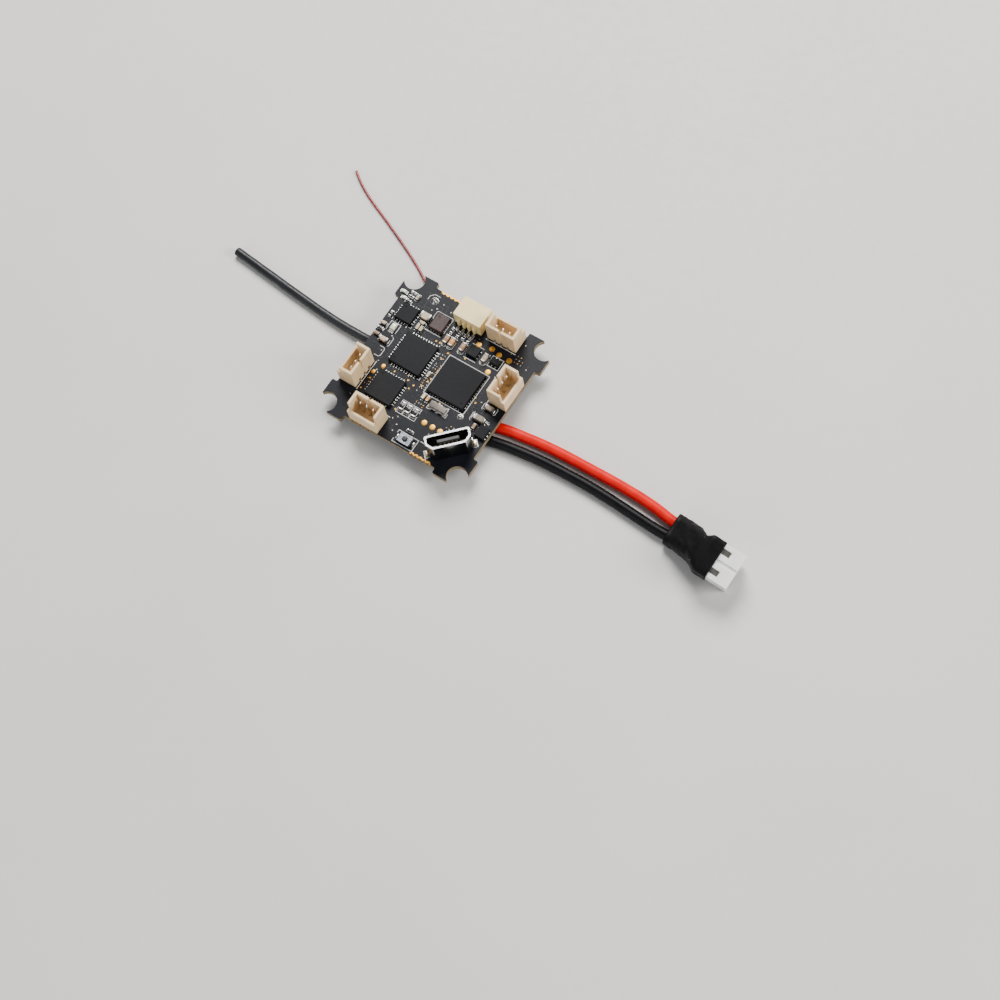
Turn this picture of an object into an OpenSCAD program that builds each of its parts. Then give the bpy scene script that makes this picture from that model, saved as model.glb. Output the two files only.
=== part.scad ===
// Flight controller board for a small indoor drone.
// The board stands on its underside parts; +Z is up and the battery leads leave towards +X.

/* [Board] */
// Side length of the square board, measured over its four corners
board_w = 28.5; // [28:0.1:30]
// Thickness of the laminate
board_t = 1.0; // [0.8:0.1:1.2]
// Distance between the grommet notches, centre to centre
pattern = 25.5; // [25.2:0.1:26]
// Radius of a grommet notch
notch_r = 1.75; // [1.5:0.05:1.8]
// How far each edge is set back between the corners
recess = 0.95; // [0.5:0.05:0.95]
// Length of the set-back stretch of each edge
recess_l = 17.8; // [17:0.1:18.4]
// Clearance between the laminate and the surface that the board stands on
under_h = 2.1; // [2.1:0.05:2.4]

/* [Motor sockets] */
// Length of a three-pin motor socket
socket_l = 5.45; // [5.3:0.05:5.6]
// Depth of a motor socket
socket_d = 3.2; // [3:0.05:3.3]
// Height of a motor socket's tall wall
socket_h = 4.65; // [4.2:0.05:5]
// Height of a motor socket's low wall
socket_low = 2.8; // [2.2:0.1:3.4]
// Wall thickness of a motor socket
socket_wall = 0.45; // [0.35:0.05:0.55]
// Distance from the board's centre to a motor socket's centre
socket_reach = 11.65; // [11.5:0.05:11.7]
// Distance between motor pins
pin_pitch = 1.25; // [1.2:0.05:1.3]

/* [Camera socket] */
// Width of the side-entry camera socket
cam_w = 5.2; // [5:0.1:5.4]
// Depth of the camera socket
cam_d = 3.7; // [3.4:0.1:3.8]
// Height of the camera socket
cam_h = 2.9; // [2.6:0.1:3.2]
// Distance between camera contacts
cam_pitch = 1.0; // [0.9:0.05:1]

/* [USB socket] */
// Width of the upright USB socket's shell
usb_w = 7.3; // [7.1:0.1:7.5]
// Thickness of the shell, from its wide side to its narrow side
usb_d = 2.45; // [2.3:0.05:2.6]
// Height of the shell above the laminate
usb_h = 4.5; // [4.2:0.1:4.6]
// Sheet thickness of the shell
usb_wall = 0.25; // [0.2:0.05:0.3]

/* [Boot button] */
// Travel of the plunger
press = 0.12; // [0.08:0.01:0.14]
// Radius of the plunger's stem
stem_r = 0.42; // [0.35:0.01:0.45]
// Radial running clearance round the stem
stem_gap = 0.04; // [0.03:0.01:0.05]

/* [Cords] */
// Outside diameter of a battery lead
lead_d = 1.8; // [1.6:0.1:1.8]
// Outside diameter of the sleeved video antenna
tube_d = 1.5; // [1.3:0.1:1.6]
// Outside diameter of the receiver antenna wire
wire_d = 0.45; // [0.4:0.05:0.5]

/* [Battery plug] */
// Width of the plug's housing
plug_w = 5.9; // [5.7:0.1:6]
// Height of the plug's housing
plug_h = 4.5; // [4.3:0.1:4.6]
// Length of the plug's housing
plug_l = 7.1; // [6.9:0.1:7.3]

/* [Hidden] */

e = 0.01;
top_z = under_h + board_t;
half_w = board_w / 2;
notch_at = pattern / 2;
edge_at = half_w - recess;

// Surface-mount packages: length, width, height
case_0805 = [1.9, 1.2, 0.8];
case_0603 = [1.6, 0.8, 0.75];
case_0402 = [1.0, 0.55, 0.5];
case_tantalum = [3.5, 2.8, under_h];

// Places of the parts on the upper face: x, y, turn
medium_places = [
    [-2.0, 6.25, 90], [-0.95, 6.25, 90], [1.05, 6.4, 90],
    [5.25, 6.6, 90], [-10.9, 1.05, 0], [10.8, -0.4, 0]
];
small_places = [
    [-7.1, 6.75, 0], [-7.4, 5.75, 90], [-6.7, 5.75, 90], [-12.6, 3.6, 0],
    [-12.6, 1.45, 0], [0.45, -4.05, 90], [1.3, -4.05, 90], [-1.05, -0.45, 90],
    [-10.4, 10.2, 90], [10.35, -4.25, 90]
];
resistor_places = [
    [-2.1, 8.15, 90], [-0.85, 8.15, 90], [0.15, 8.15, 90], [1.15, 8.15, 90],
    [-11.7, 10.3, 90], [-11.05, 10.3, 90], [-12.6, 5.6, 90], [-12.6, 2.55, 0],
    [2.0, -10.2, 0], [-11.4, 8.9, 0]
];
trio_places = [[-1.55, -7.2, 90], [-0.3, -7.2, 90], [0.95, -7.2, 90]];
pad_places = [
    [2.96, 8.25, 0.5], [5.22, 8.7, 0.5], [6.79, 8.35, 0.5], [8.74, 8.35, 0.5],
    [6.9, 4.9, 0.5], [3.06, -7.73, 0.5], [4.64, -7.73, 0.5], [6.1, -7.75, 0.5],
    [-8.33, -2.85, 0.38], [-9.19, -4.47, 0.36]
];

// Edge contacts: first place along the edge, count, pitch, and the edge's turn
contact_rows = [[-7.2, 5, 0.8, 0], [4.4, 5, 0.8, 0], [4.0, 5, 0.8, 180]];
contact_r = 0.28;
contact_bore = 0.17;

// Motor sockets: place along the edge and turn; the tall wall faces the board's centre
socket_places = [[5.57, 270], [-5.07, 0], [-6.18, 180], [3.28, 90]];
socket_floor = 0.6;
socket_step = 0.65;
slit_w = 0.5;
slit_depth = 2.4;
pin_w = 0.4;
pin_y = 0.45;
pin_h = 3.9;
tail_h = 0.25;
tail_out = 0.15;
// Opening round each tail at the foot of the tall wall: width, depth and height
tail_notch = [0.5, 0.25, 0.8];

cam_at = [-0.2, 11.65];
cam_wall = 0.45;
cam_cavity_h = 1.9;
cam_cavity_d = 2.8;
// Plastic fingers that cover the contacts on the inboard wall
finger_r = 0.31;
finger_out = 0.5;
finger_z = 0.4;
finger_h = 1.6;

usb_at = 9.58;
usb_chamfer = 0.95;
tongue = [3.7, 0.65, 3.0];
usb_base_h = 1.0;

button_at = [2.2, -11.85];
button_size = [2.6, 1.6, 0.55];
cover_t = 0.1;
dome_h = 0.12;
dome_r = 0.6;
dome_crown_r = 0.35;
flange_r = 0.62;
flange_t = 0.13;
pocket_r = 0.7;
pocket_z = 0.12;
stem_top = 0.85;
// Lowest the plunger's flange may go: just over the dome
flange_stop = pocket_z + dome_h + 0.04;

// Underside: power transistors sit in threes by each motor socket
transistor = [2.5, 2.5, 0.8];
transistor_places = [
    [-11.3, -8.0], [-11.3, -5.1], [-11.3, -2.2], [-7.9, -11.3], [-5.0, -11.3], [-2.1, -11.3],
    [3.4, 11.3], [6.3, 11.3], [9.2, 11.3], [11.3, 7.4], [11.3, 4.5], [11.3, 1.6]
];
controller_places = [[-7.2, -5.3], [-2.6, -7.4], [4.6, 7.3], [7.4, 3.2]];
inductor_at = [-9.6, 6.6];
inductor = [4.0, 4.0, under_h];
bulk_places = [[8.1, 7.4], [7.9, -9.2], [-7.0, -8.45]];
cap_row = [[-1.2, 3.6], [-1.2, 2.4], [-1.2, 1.2], [4.2, -1.4], [4.2, -2.6], [1.6, -10.9]];
res_row = [[1.4, 3.6], [1.4, 2.4], [1.4, 1.2], [-3.9, -3.4], [-2.2, -3.4], [-0.5, -3.4]];

// Cord routes, centre line
lead_z = lead_d / 2;
tube_z = tube_d / 2;
wire_z = wire_d / 2;
lead_start = 10.6;
sleeve_x = 46.1;
red_route = [
    [10.6, -2.2, 1.1], [12.4, -1.8, 1.0], [15, -1.2, lead_z], [18, -0.8, lead_z],
    [21, -0.45, lead_z], [24, -0.25, lead_z], [27, -0.15, lead_z], [30, -0.1, lead_z],
    [33, -0.05, lead_z], [36, -0.05, lead_z], [39, -0.15, lead_z], [42, -0.4, lead_z],
    [44.2, -0.75, lead_z], [45.3, -0.9, lead_z], [46.1, -0.9, lead_z]
];
black_route = [
    [10.6, -4.9, 1.1], [12.4, -4.4, 1.0], [15, -3.85, lead_z], [18, -3.4, lead_z],
    [21, -3.05, lead_z], [24, -2.85, lead_z], [27, -2.75, lead_z], [30, -2.7, lead_z],
    [33, -2.75, lead_z], [36, -2.9, lead_z], [39, -3.1, lead_z], [42, -3.3, lead_z],
    [44.2, -3.4, lead_z], [45.3, -3.4, lead_z], [46.1, -3.4, lead_z]
];
tube_route = [
    [-10.2, 0.4, 1.3], [-12, 0.45, 1.15], [-14, 0.55, 0.85], [-16, 0.55, tube_z],
    [-18, 0.55, tube_z], [-20, 0.6, tube_z], [-22.5, 0.75, tube_z], [-25, 0.95, tube_z],
    [-28, 1.25, tube_z], [-31, 1.55, tube_z], [-34, 1.9, tube_z], [-37, 2.2, tube_z],
    [-39.5, 2.5, tube_z], [-41.5, 2.7, tube_z], [-42.9, 2.85, tube_z]
];
wire_route = [
    [-7.7, 11.1, 1.65], [-9.0, 11.95, 1.6], [-10.2, 12.9, 1.25], [-11.3, 13.7, 0.8],
    [-12.6, 14.6, 0.4], [-14, 15.5, wire_z], [-16, 16.6, wire_z], [-18.2, 17.7, wire_z],
    [-20.5, 18.8, wire_z], [-22.8, 19.85, wire_z], [-25, 20.85, wire_z],
    [-27.2, 21.8, wire_z], [-29.4, 22.8, wire_z], [-31.2, 23.75, wire_z],
    [-32.8, 24.75, wire_z], [-34.35, 25.9, wire_z]
];

// Battery plug: its middle, and how it leans on its front corner
plug_at = [55.05, -3.95, 3.4];
plug_roll = 11;
plug_pitch = 10;
plug_back = [4.2, 3.2];
plug_taper = 1.25;
plug_pin_r = 0.25;
plug_pin_gap = 1.0;
mouth_wall = 0.5;
mouth_depth = 5.6;
groove_w = 0.6;
window = [2.4, 1.0];
window_y = 1.7;
// Depth of the groove and of both windows in the plug's roof
roof_cut = 0.3;

// Sleeve sections: place, width and height, corner radius
sleeve_back = [[sleeve_x, -2.2, 1.3], [5.7, 2.6], 0.9];
sleeve_middle = [[50, -3.0, 2.9], [5.7, 3.8], 0.9];
// Sections round the plug, placed from the plug's own middle
sleeve_skin = 0.2;
sleeve_waist = [[-3.0, 0, 0], [5.4, 4.2], 0.6];
sleeve_flare = [[-2.2, 0, 0], [plug_w + 2 * sleeve_skin, plug_h + 2 * sleeve_skin], 0.5];
sleeve_front = [[-0.06, 0, 0], sleeve_flare[1], 0.5];

// ---- Shapes that repeat ----

module block(at, size, z) {
    translate([at[0] - size[0] / 2, at[1] - size[1] / 2, z]) cube(size);
}

// A package on the upper face
module top_part(at, size) {
    translate([at[0], at[1], top_z]) rotate(at[2]) block([0, 0], size, 0);
}

// A package that hangs from the lower face
module under_part(at, size) {
    block(at, size, under_h - size[2]);
}

// A body stood off the board by its solder
module chip(at, size) {
    block(at, size, top_z + 0.05);
}

module dome(r, h) {
    ball = (r * r + h * h) / (2 * h);
    rotate_extrude($fn = 48) intersection() {
        translate([0, h - ball]) circle(ball, $fn = 96);
        square([r, h]);
    }
}

// Puts its children at each motor socket, with the tall wall at +Y
module at_socket(i) {
    place = socket_places[i];
    rotate(place[1]) translate([place[0], -socket_reach, top_z]) children();
}

function unit(v) = v / norm(v);
function heading(p, i) =
    i == 0 ? unit(p[1] - p[0])
    : i == len(p) - 1 ? unit(p[i] - p[i - 1])
    : unit(unit(p[i + 1] - p[i]) + unit(p[i] - p[i - 1]));
function side_of(d) = unit(cross(d, [0, 0, 1]));

// A round cord swept along a route
module cord(p, d, sides) {
    n = len(p);
    rings = [
        for (i = [0:n - 1])
            let (f = heading(p, i), s = side_of(f), u = cross(s, f))
            for (k = [0:sides - 1])
                let (a = 360 * (k + 0.5) / sides, r = d / 2 / cos(180 / sides))
                p[i] + r * cos(a) * s + r * sin(a) * u
    ];
    walls = [
        for (i = [0:n - 2], k = [0:sides - 1])
            let (a = i * sides + k, b = i * sides + (k + 1) % sides)
            [a, b, b + sides, a + sides]
    ];
    near_cap = [for (k = [0:sides - 1]) sides - 1 - k];
    far_cap = [for (k = [0:sides - 1]) (n - 1) * sides + k];
    polyhedron(points = rings, faces = concat(walls, [near_cap, far_cap]), convexity = 4);
}

// ---- Laminate ----

module contact_places() {
    for (row = contact_rows, k = [0:row[1] - 1])
        rotate(row[3]) translate([row[0] + k * row[2], -edge_at, under_h]) children();
}

module circuit_board() {
    color([0.11, 0.12, 0.15]) difference() {
        translate([-half_w, -half_w, under_h]) cube([board_w, board_w, board_t]);
        for (a = [0:90:270]) rotate(a) {
            translate([-recess_l / 2, -half_w - 1, under_h - 1])
                cube([recess_l, recess + 1, board_t + 2]);
            translate([notch_at, notch_at, under_h - 1])
                cylinder(r = notch_r, h = board_t + 2, $fn = 64);
            translate([notch_at, notch_at, under_h - 1])
                cube([2, 2, board_t + 2]);
        }
        contact_places() translate([0, 0, -1])
            cylinder(r = contact_r, h = board_t + 2, $fn = 32);
    }
}

module edge_contacts() {
    color([0.85, 0.68, 0.35]) contact_places() difference() {
        cylinder(r = contact_r, h = board_t, $fn = 32);
        translate([0, 0, -1]) cylinder(r = contact_bore, h = board_t + 2, $fn = 32);
        translate([-1, -2, -1]) cube([2, 2, board_t + 2]);
    }
}

module test_pads() {
    color([0.9, 0.75, 0.4]) for (p = pad_places)
        translate([p[0], p[1], top_z]) cylinder(r = p[2], h = 0.05, $fn = 40);
}

// ---- Chips and small parts on the upper face ----

module main_processor() {
    color([0.13, 0.13, 0.14]) chip([3.78, 0.52], [7, 7, 0.65]);
}

module video_transmitter() {
    color([0.13, 0.13, 0.14]) chip([-5.12, 1.3], [6, 6, 0.75]);
}

module display_chip() {
    color([0.13, 0.13, 0.14]) chip([-5.7, -6.0], [5, 5, 0.75]);
}

module converter_chip() {
    color([0.13, 0.13, 0.14]) chip([-10.15, 6.8], [3.1, 3.1, 0.7]);
}

module motion_sensor() {
    color([0.2, 0.17, 0.17]) chip([-4.54, 8.06], [2.5, 3, 0.8]);
}

module voltage_regulator() {
    color([0.1, 0.1, 0.1]) chip([7.1, 6.9], [1.7, 1.2, 0.75]);
}

module load_switch() {
    color([0.12, 0.12, 0.14]) chip([3.05, 6.65], [1.9, 1.9, 0.55]);
}

module resonator() {
    color([0.6, 0.57, 0.52]) top_part([3.7, -4.55, 0], [3.2, 1.2, 0.85]);
}

module power_diode() {
    color([0.55, 0.53, 0.5]) top_part([10.35, -2.75, 0], [2.3, 1.05, 0.9]);
}

module pass_transistor() {
    color([0.1, 0.1, 0.11]) chip([12.1, -4.5], [1.8, 2.2, 0.6]);
}

module large_capacitor() {
    color([0.75, 0.66, 0.52]) top_part([-7.25, 7.95, 0], case_0805);
}

module medium_capacitors() {
    color([0.66, 0.47, 0.3]) for (p = medium_places) top_part(p, case_0603);
}

module small_capacitors() {
    color([0.6, 0.5, 0.36]) for (p = small_places) top_part(p, case_0402);
}

module resistors() {
    color([0.12, 0.12, 0.12]) {
        for (p = resistor_places) top_part(p, [1.0, 0.5, 0.35]);
        for (p = trio_places) top_part(p, [1.5, 0.75, 0.45]);
    }
}

module status_led() {
    color([0.9, 0.93, 0.8]) top_part([-10.8, 3.7, 90], [1.5, 0.8, 0.6]);
}

module receiver_leds() {
    color([0.8, 0.88, 0.75]) {
        top_part([-13.0, 10.1, 0], [1.0, 0.5, 0.4]);
        top_part([-12.3, 9.15, 0], [1.0, 0.5, 0.4]);
    }
}

// ---- Motor sockets ----

module socket_housing() {
    inner_l = socket_l - 2 * socket_wall;
    inner_d = socket_d - 2 * socket_wall;
    difference() {
        translate([-socket_l / 2, -socket_d / 2, 0]) cube([socket_l, socket_d, socket_h]);
        translate([-inner_l / 2, -inner_d / 2, socket_floor]) cube([inner_l, inner_d, socket_h]);
        translate([-socket_l / 2 - 1, -socket_d / 2 - 1, socket_low])
            cube([socket_l + 2, socket_step + 1, socket_h]);
        translate([0, socket_d / 2 + 1, socket_h]) rotate([90, 0, 0])
            linear_extrude(socket_wall + 1 + e)
            polygon([[-slit_w / 2, 1], [slit_w / 2, 1], [slit_w / 6, -slit_depth],
                [-slit_w / 6, -slit_depth]]);
        for (k = [-1:1]) translate([k * pin_pitch, 0, 0]) {
            translate([-pin_w / 2 - 0.05, pin_y - pin_w / 2 - 0.05, -1])
                cube([pin_w + 0.1, pin_w + 0.1, socket_floor + 2]);
            translate([-pin_w / 2 - 0.05, pin_y, -1])
                cube([pin_w + 0.1, socket_d, 1 + tail_h + 0.2]);
            translate([-tail_notch[0] / 2, socket_d / 2 - tail_notch[1], -1])
                cube([tail_notch[0], 1, 1 + tail_notch[2]]);
        }
    }
}

module motor_socket(i) {
    color([0.86, 0.76, 0.62]) at_socket(i) socket_housing();
}

module motor_socket_1() { motor_socket(0); }
module motor_socket_2() { motor_socket(1); }
module motor_socket_3() { motor_socket(2); }
module motor_socket_4() { motor_socket(3); }

module motor_pin() {
    tail_end = socket_d / 2 + tail_out;
    translate([-pin_w / 2, pin_y - pin_w / 2, 0]) cube([pin_w, pin_w, pin_h]);
    translate([-pin_w / 2, pin_y, 0]) cube([pin_w, tail_end - pin_y, tail_h]);
}

module motor_pins() {
    color([0.86, 0.78, 0.55]) for (i = [0:3], k = [-1:1])
        at_socket(i) translate([k * pin_pitch, 0, 0]) motor_pin();
}

// ---- Camera socket ----

module camera_socket() {
    low = (cam_h - cam_cavity_h) / 2;
    color([0.97, 0.94, 0.82]) translate([cam_at[0], cam_at[1], top_z]) difference() {
        union() {
            block([0, 0], [cam_w, cam_d, cam_h], 0);
            at_camera_contacts() translate([0, -finger_out + finger_r, finger_z])
                cylinder(r = finger_r, h = finger_h, $fn = 32);
        }
        translate([-cam_w / 2 + cam_wall, cam_d / 2 - cam_cavity_d, low])
            cube([cam_w - 2 * cam_wall, cam_cavity_d + 1, cam_cavity_h]);
        at_camera_contacts() {
            translate([-0.15, -1, -1]) cube([0.3, 1.6, 1.3]);
            translate([-0.15, 0.3, -1]) cube([0.3, 0.3, low + 1.5]);
            translate([-0.15, 0.3, low + 0.2]) cube([0.3, 0.7, 0.3]);
        }
    }
}

// Puts its children at each contact, on the inboard wall
module at_camera_contacts() {
    for (k = [0:3]) translate([(k - 1.5) * cam_pitch, -cam_d / 2, 0]) children();
}

module camera_contacts() {
    beam_z = (cam_h - cam_cavity_h) / 2 + 0.25;
    color([0.85, 0.78, 0.6]) translate([cam_at[0], cam_at[1], top_z]) at_camera_contacts() {
        translate([-0.1, 0.35, beam_z]) cube([0.2, 2.35, 0.2]);
        translate([-0.1, 0.35, 0]) cube([0.2, 0.2, beam_z + 0.2]);
        translate([-0.1, -0.95, 0]) cube([0.2, 1.5, 0.2]);
    }
}

module camera_socket_tabs() {
    color([0.8, 0.8, 0.78]) for (s = [-1, 1])
        translate([cam_at[0] + s * (cam_w / 2 + 0.1), cam_at[1] + 0.6, top_z])
            block([0, 0], [0.2, 1.5, 0.9], 0);
}

// ---- USB socket ----

// Outline of the shell, drawn in from the outside by `inset`
module usb_outline(inset) {
    w = usb_w / 2 - inset;
    d = usb_d / 2 - inset;
    cut = usb_chamfer - 0.4 * inset;
    polygon([[-w, d], [-w, -d + cut], [-w + cut, -d], [w - cut, -d], [w, -d + cut], [w, d]]);
}

module at_usb() {
    translate([usb_at, -usb_at, top_z]) rotate(45) children();
}

module usb_shell() {
    color([0.75, 0.75, 0.77]) at_usb() {
        difference() {
            linear_extrude(usb_h) usb_outline(0);
            translate([0, 0, -1]) linear_extrude(usb_h + 2) usb_outline(usb_wall);
        }
        for (s = [-1, 1]) block([s * (usb_w / 2 + 0.3), 0.2], [0.6, 1.1, 0.35], 0);
    }
}

module usb_insulator() {
    color([0.08, 0.08, 0.09]) at_usb() {
        linear_extrude(usb_base_h) usb_outline(usb_wall);
        block([0, 0.2], tongue, usb_base_h);
    }
}

module usb_contacts() {
    color([0.85, 0.72, 0.42]) at_usb() for (k = [-2:2])
        block([k * 0.65, 0.2 - tongue[1] / 2 - 0.05], [0.35, 0.1, 2.7], usb_base_h);
}

// ---- Boot button ----

module at_button() {
    translate([button_at[0], button_at[1], top_z]) children();
}

module button_base() {
    color([0.1, 0.1, 0.1]) at_button() difference() {
        block([0, 0], button_size, 0);
        translate([0, 0, pocket_z]) cylinder(r = pocket_r, h = 1, $fn = 48);
    }
}

module button_terminals() {
    color([0.8, 0.8, 0.78]) at_button() for (s = [-1, 1])
        block([s * (button_size[0] / 2 + 0.15), 0], [0.3, 0.7, 0.2], 0);
}

// Snap dome under the plunger, as a shallow cone
module button_dome() {
    color([0.8, 0.8, 0.8]) at_button() translate([0, 0, pocket_z])
        cylinder(r1 = dome_r, r2 = dome_crown_r, h = dome_h, $fn = 48);
}

module button_cover() {
    color([0.78, 0.78, 0.8]) at_button() difference() {
        block([0, 0], [2.3, button_size[1], cover_t], button_size[2]);
        cylinder(r = stem_r + stem_gap, h = 3, $fn = 48);
    }
}

module button_plunger() {
    low = flange_stop + press;
    color([0.16, 0.15, 0.15]) at_button() {
        translate([0, 0, low]) cylinder(r = flange_r, h = flange_t, $fn = 48);
        translate([0, 0, low]) cylinder(r = stem_r, h = stem_top - low, $fn = 48);
    }
}

module top_solder_joints() {
    color([0.85, 0.85, 0.85]) {
        translate([-7.7, 11.1, top_z]) dome(0.62, 0.45);
        translate([7.5, -3.95, top_z]) dome(0.45, 0.2);
        translate([11.85, -2.75, top_z]) dome(0.32, 0.3);
    }
}

// ---- Parts on the lower face ----

module power_transistors() {
    color([0.12, 0.12, 0.13]) for (p = transistor_places) under_part(p, transistor);
}

module motor_controllers() {
    color([0.13, 0.13, 0.14]) for (p = controller_places) under_part(p, [3, 3, 0.75]);
}

module inductor_core() {
    color([0.3, 0.3, 0.31]) difference() {
        under_part(inductor_at, inductor);
        for (s = [-1, 1])
            block([inductor_at[0] + s * 1.8, inductor_at[1]], [0.8, 2.2, 0.5], under_h - 0.5);
    }
}

module inductor_terminals() {
    color([0.8, 0.8, 0.78]) for (s = [-1, 1])
        block([inductor_at[0] + s * 1.9, inductor_at[1]], [0.6, 2.2, 0.5], under_h - 0.5);
}

module bulk_capacitors() {
    color([0.85, 0.62, 0.2]) for (p = bulk_places) under_part(p, case_tantalum);
}

module bulk_capacitor_terminals() {
    color([0.8, 0.8, 0.78]) for (p = bulk_places, s = [-1, 1])
        block([p[0] + s * (case_tantalum[0] / 2 + 0.05), p[1]], [0.1, 2.2, 1.2], under_h - 1.2);
}

module receiver_chip() {
    color([0.13, 0.13, 0.14]) under_part([-3.2, 9.6], [4, 4, 0.85]);
}

module reference_crystal() {
    color([0.78, 0.76, 0.7]) under_part([0.9, 8.2], [3.2, 2.5, 0.7]);
}

module transmitter_amplifier() {
    color([0.13, 0.13, 0.14]) under_part([-5.2, 0.4], [3, 3, 0.85]);
}

module underside_capacitors() {
    color([0.66, 0.5, 0.34]) for (p = cap_row) under_part(p, case_0603);
}

module underside_resistors() {
    color([0.12, 0.12, 0.12]) for (p = res_row) under_part(p, [1.0, 0.5, 0.35]);
}

// ---- Cords, antennas and the battery plug ----

// A solder joint on the lower face with a wire end that points along `turn`
module wire_joint(at, r, h, wire_r, reach, wire_at_z, turn) {
    translate([at[0], at[1], 0]) {
        translate([0, 0, under_h]) mirror([0, 0, 1]) dome(r, h);
        translate([0, 0, wire_at_z]) rotate(turn) rotate([0, 90, 0])
            cylinder(r = wire_r, h = reach, $fn = 32);
    }
}

module cord_solder_joints() {
    color([0.82, 0.82, 0.82]) {
        wire_joint([8.8, -2.2], 1.25, 1.2, 0.5, lead_start - 8.8, 1.1, 0);
        wire_joint([8.8, -4.9], 1.25, 1.2, 0.5, lead_start - 8.8, 1.1, 0);
        wire_joint([-8.9, 0.4], 1.1, 1.0, 0.28, 1.3, 1.3, 180);
        translate([-7.7, 11.1, under_h]) mirror([0, 0, 1]) dome(0.9, 0.7);
    }
}

module battery_lead_red() {
    color([0.9, 0.1, 0.08]) cord(red_route, lead_d, 8);
}

module battery_lead_black() {
    color([0.06, 0.06, 0.07]) cord(black_route, lead_d, 8);
}

module video_antenna() {
    color([0.15, 0.16, 0.17]) cord(tube_route, tube_d, 8);
}

module receiver_antenna() {
    color([0.8, 0.25, 0.22]) cord(wire_route, wire_d, 8);
}

// Thin round-cornered slab that stands across X at a sleeve section
module slab(section) {
    half = section[1] / 2;
    r = section[2];
    translate(section[0]) for (sy = [-1, 1], sz = [-1, 1])
        translate([0, sy * (half[0] - r), sz * (half[1] - r)]) rotate([0, 90, 0])
            cylinder(r = r, h = e, $fn = 32);
}

module at_plug() {
    translate(plug_at) rotate([plug_roll, plug_pitch, 0]) children();
}

// Housing without its openings, tapered at the back
module plug_block() {
    full_l = plug_l - plug_taper;
    at_plug() {
        translate([-plug_l / 2 + plug_taper, -plug_w / 2, -plug_h / 2])
            cube([full_l, plug_w, plug_h]);
        hull() {
            translate([-plug_l / 2 + plug_taper, -plug_w / 2, -plug_h / 2])
                cube([e, plug_w, plug_h]);
            translate([-plug_l / 2, -plug_back[0] / 2, -plug_back[1] / 2])
                cube([e, plug_back[0], plug_back[1]]);
        }
    }
}

module plug_sleeve() {
    color([0.08, 0.08, 0.09]) difference() {
        union() {
            hull() {
                slab(sleeve_back);
                slab(sleeve_middle);
            }
            hull() {
                slab(sleeve_middle);
                at_plug() slab(sleeve_waist);
            }
            at_plug() {
                hull() {
                    slab(sleeve_waist);
                    slab(sleeve_flare);
                }
                hull() {
                    slab(sleeve_flare);
                    slab(sleeve_front);
                }
            }
        }
        plug_block();
    }
}

module battery_plug() {
    front = plug_l / 2;
    roof = plug_h / 2;
    color([0.93, 0.93, 0.9]) difference() {
        plug_block();
        at_plug() {
            translate([front - mouth_depth, -plug_w / 2 + mouth_wall, -plug_h / 2 + mouth_wall])
                cube([mouth_depth + 1, plug_w - 2 * mouth_wall, plug_h - 2 * mouth_wall]);
            translate([-front + 2, -groove_w / 2, roof - roof_cut]) cube([plug_l, groove_w, 1]);
            for (s = [-1, 1]) {
                translate([-front + 2.6, s * window_y - window[1] / 2, roof - roof_cut])
                    cube([window[0], window[1], 1]);
                translate([-front - 1, s * plug_pin_gap, 0]) rotate([0, 90, 0])
                    cylinder(r = plug_pin_r + 0.05, h = 4, $fn = 24);
            }
        }
    }
}

module plug_pins() {
    color([0.85, 0.75, 0.5]) at_plug() for (s = [-1, 1])
        translate([-plug_l / 2, s * plug_pin_gap, 0]) rotate([0, 90, 0])
            cylinder(r = plug_pin_r, h = plug_l - 1.2, $fn = 24);
}

// ---- Assembly ----

circuit_board();
edge_contacts();
test_pads();
main_processor();
video_transmitter();
display_chip();
converter_chip();
motion_sensor();
voltage_regulator();
load_switch();
resonator();
power_diode();
pass_transistor();
large_capacitor();
medium_capacitors();
small_capacitors();
resistors();
status_led();
receiver_leds();
motor_socket_1();
motor_socket_2();
motor_socket_3();
motor_socket_4();
motor_pins();
camera_socket();
camera_contacts();
camera_socket_tabs();
usb_shell();
usb_insulator();
usb_contacts();
button_base();
button_terminals();
button_dome();
button_cover();
button_plunger();
top_solder_joints();
power_transistors();
motor_controllers();
inductor_core();
inductor_terminals();
bulk_capacitors();
bulk_capacitor_terminals();
receiver_chip();
reference_crystal();
transmitter_amplifier();
underside_capacitors();
underside_resistors();
cord_solder_joints();
battery_lead_red();
battery_lead_black();
plug_sleeve();
battery_plug();
plug_pins();
video_antenna();
receiver_antenna();
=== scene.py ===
"""Looks of a small drone's flight controller board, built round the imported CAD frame.

Shapes are worked out in millimetres, in the object's own frame, and made in metres.
"""

import itertools
import math
import random

import bmesh
import bpy
from mathutils import Matrix, Vector, noise
from mathutils.geometry import tessellate_polygon


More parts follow.
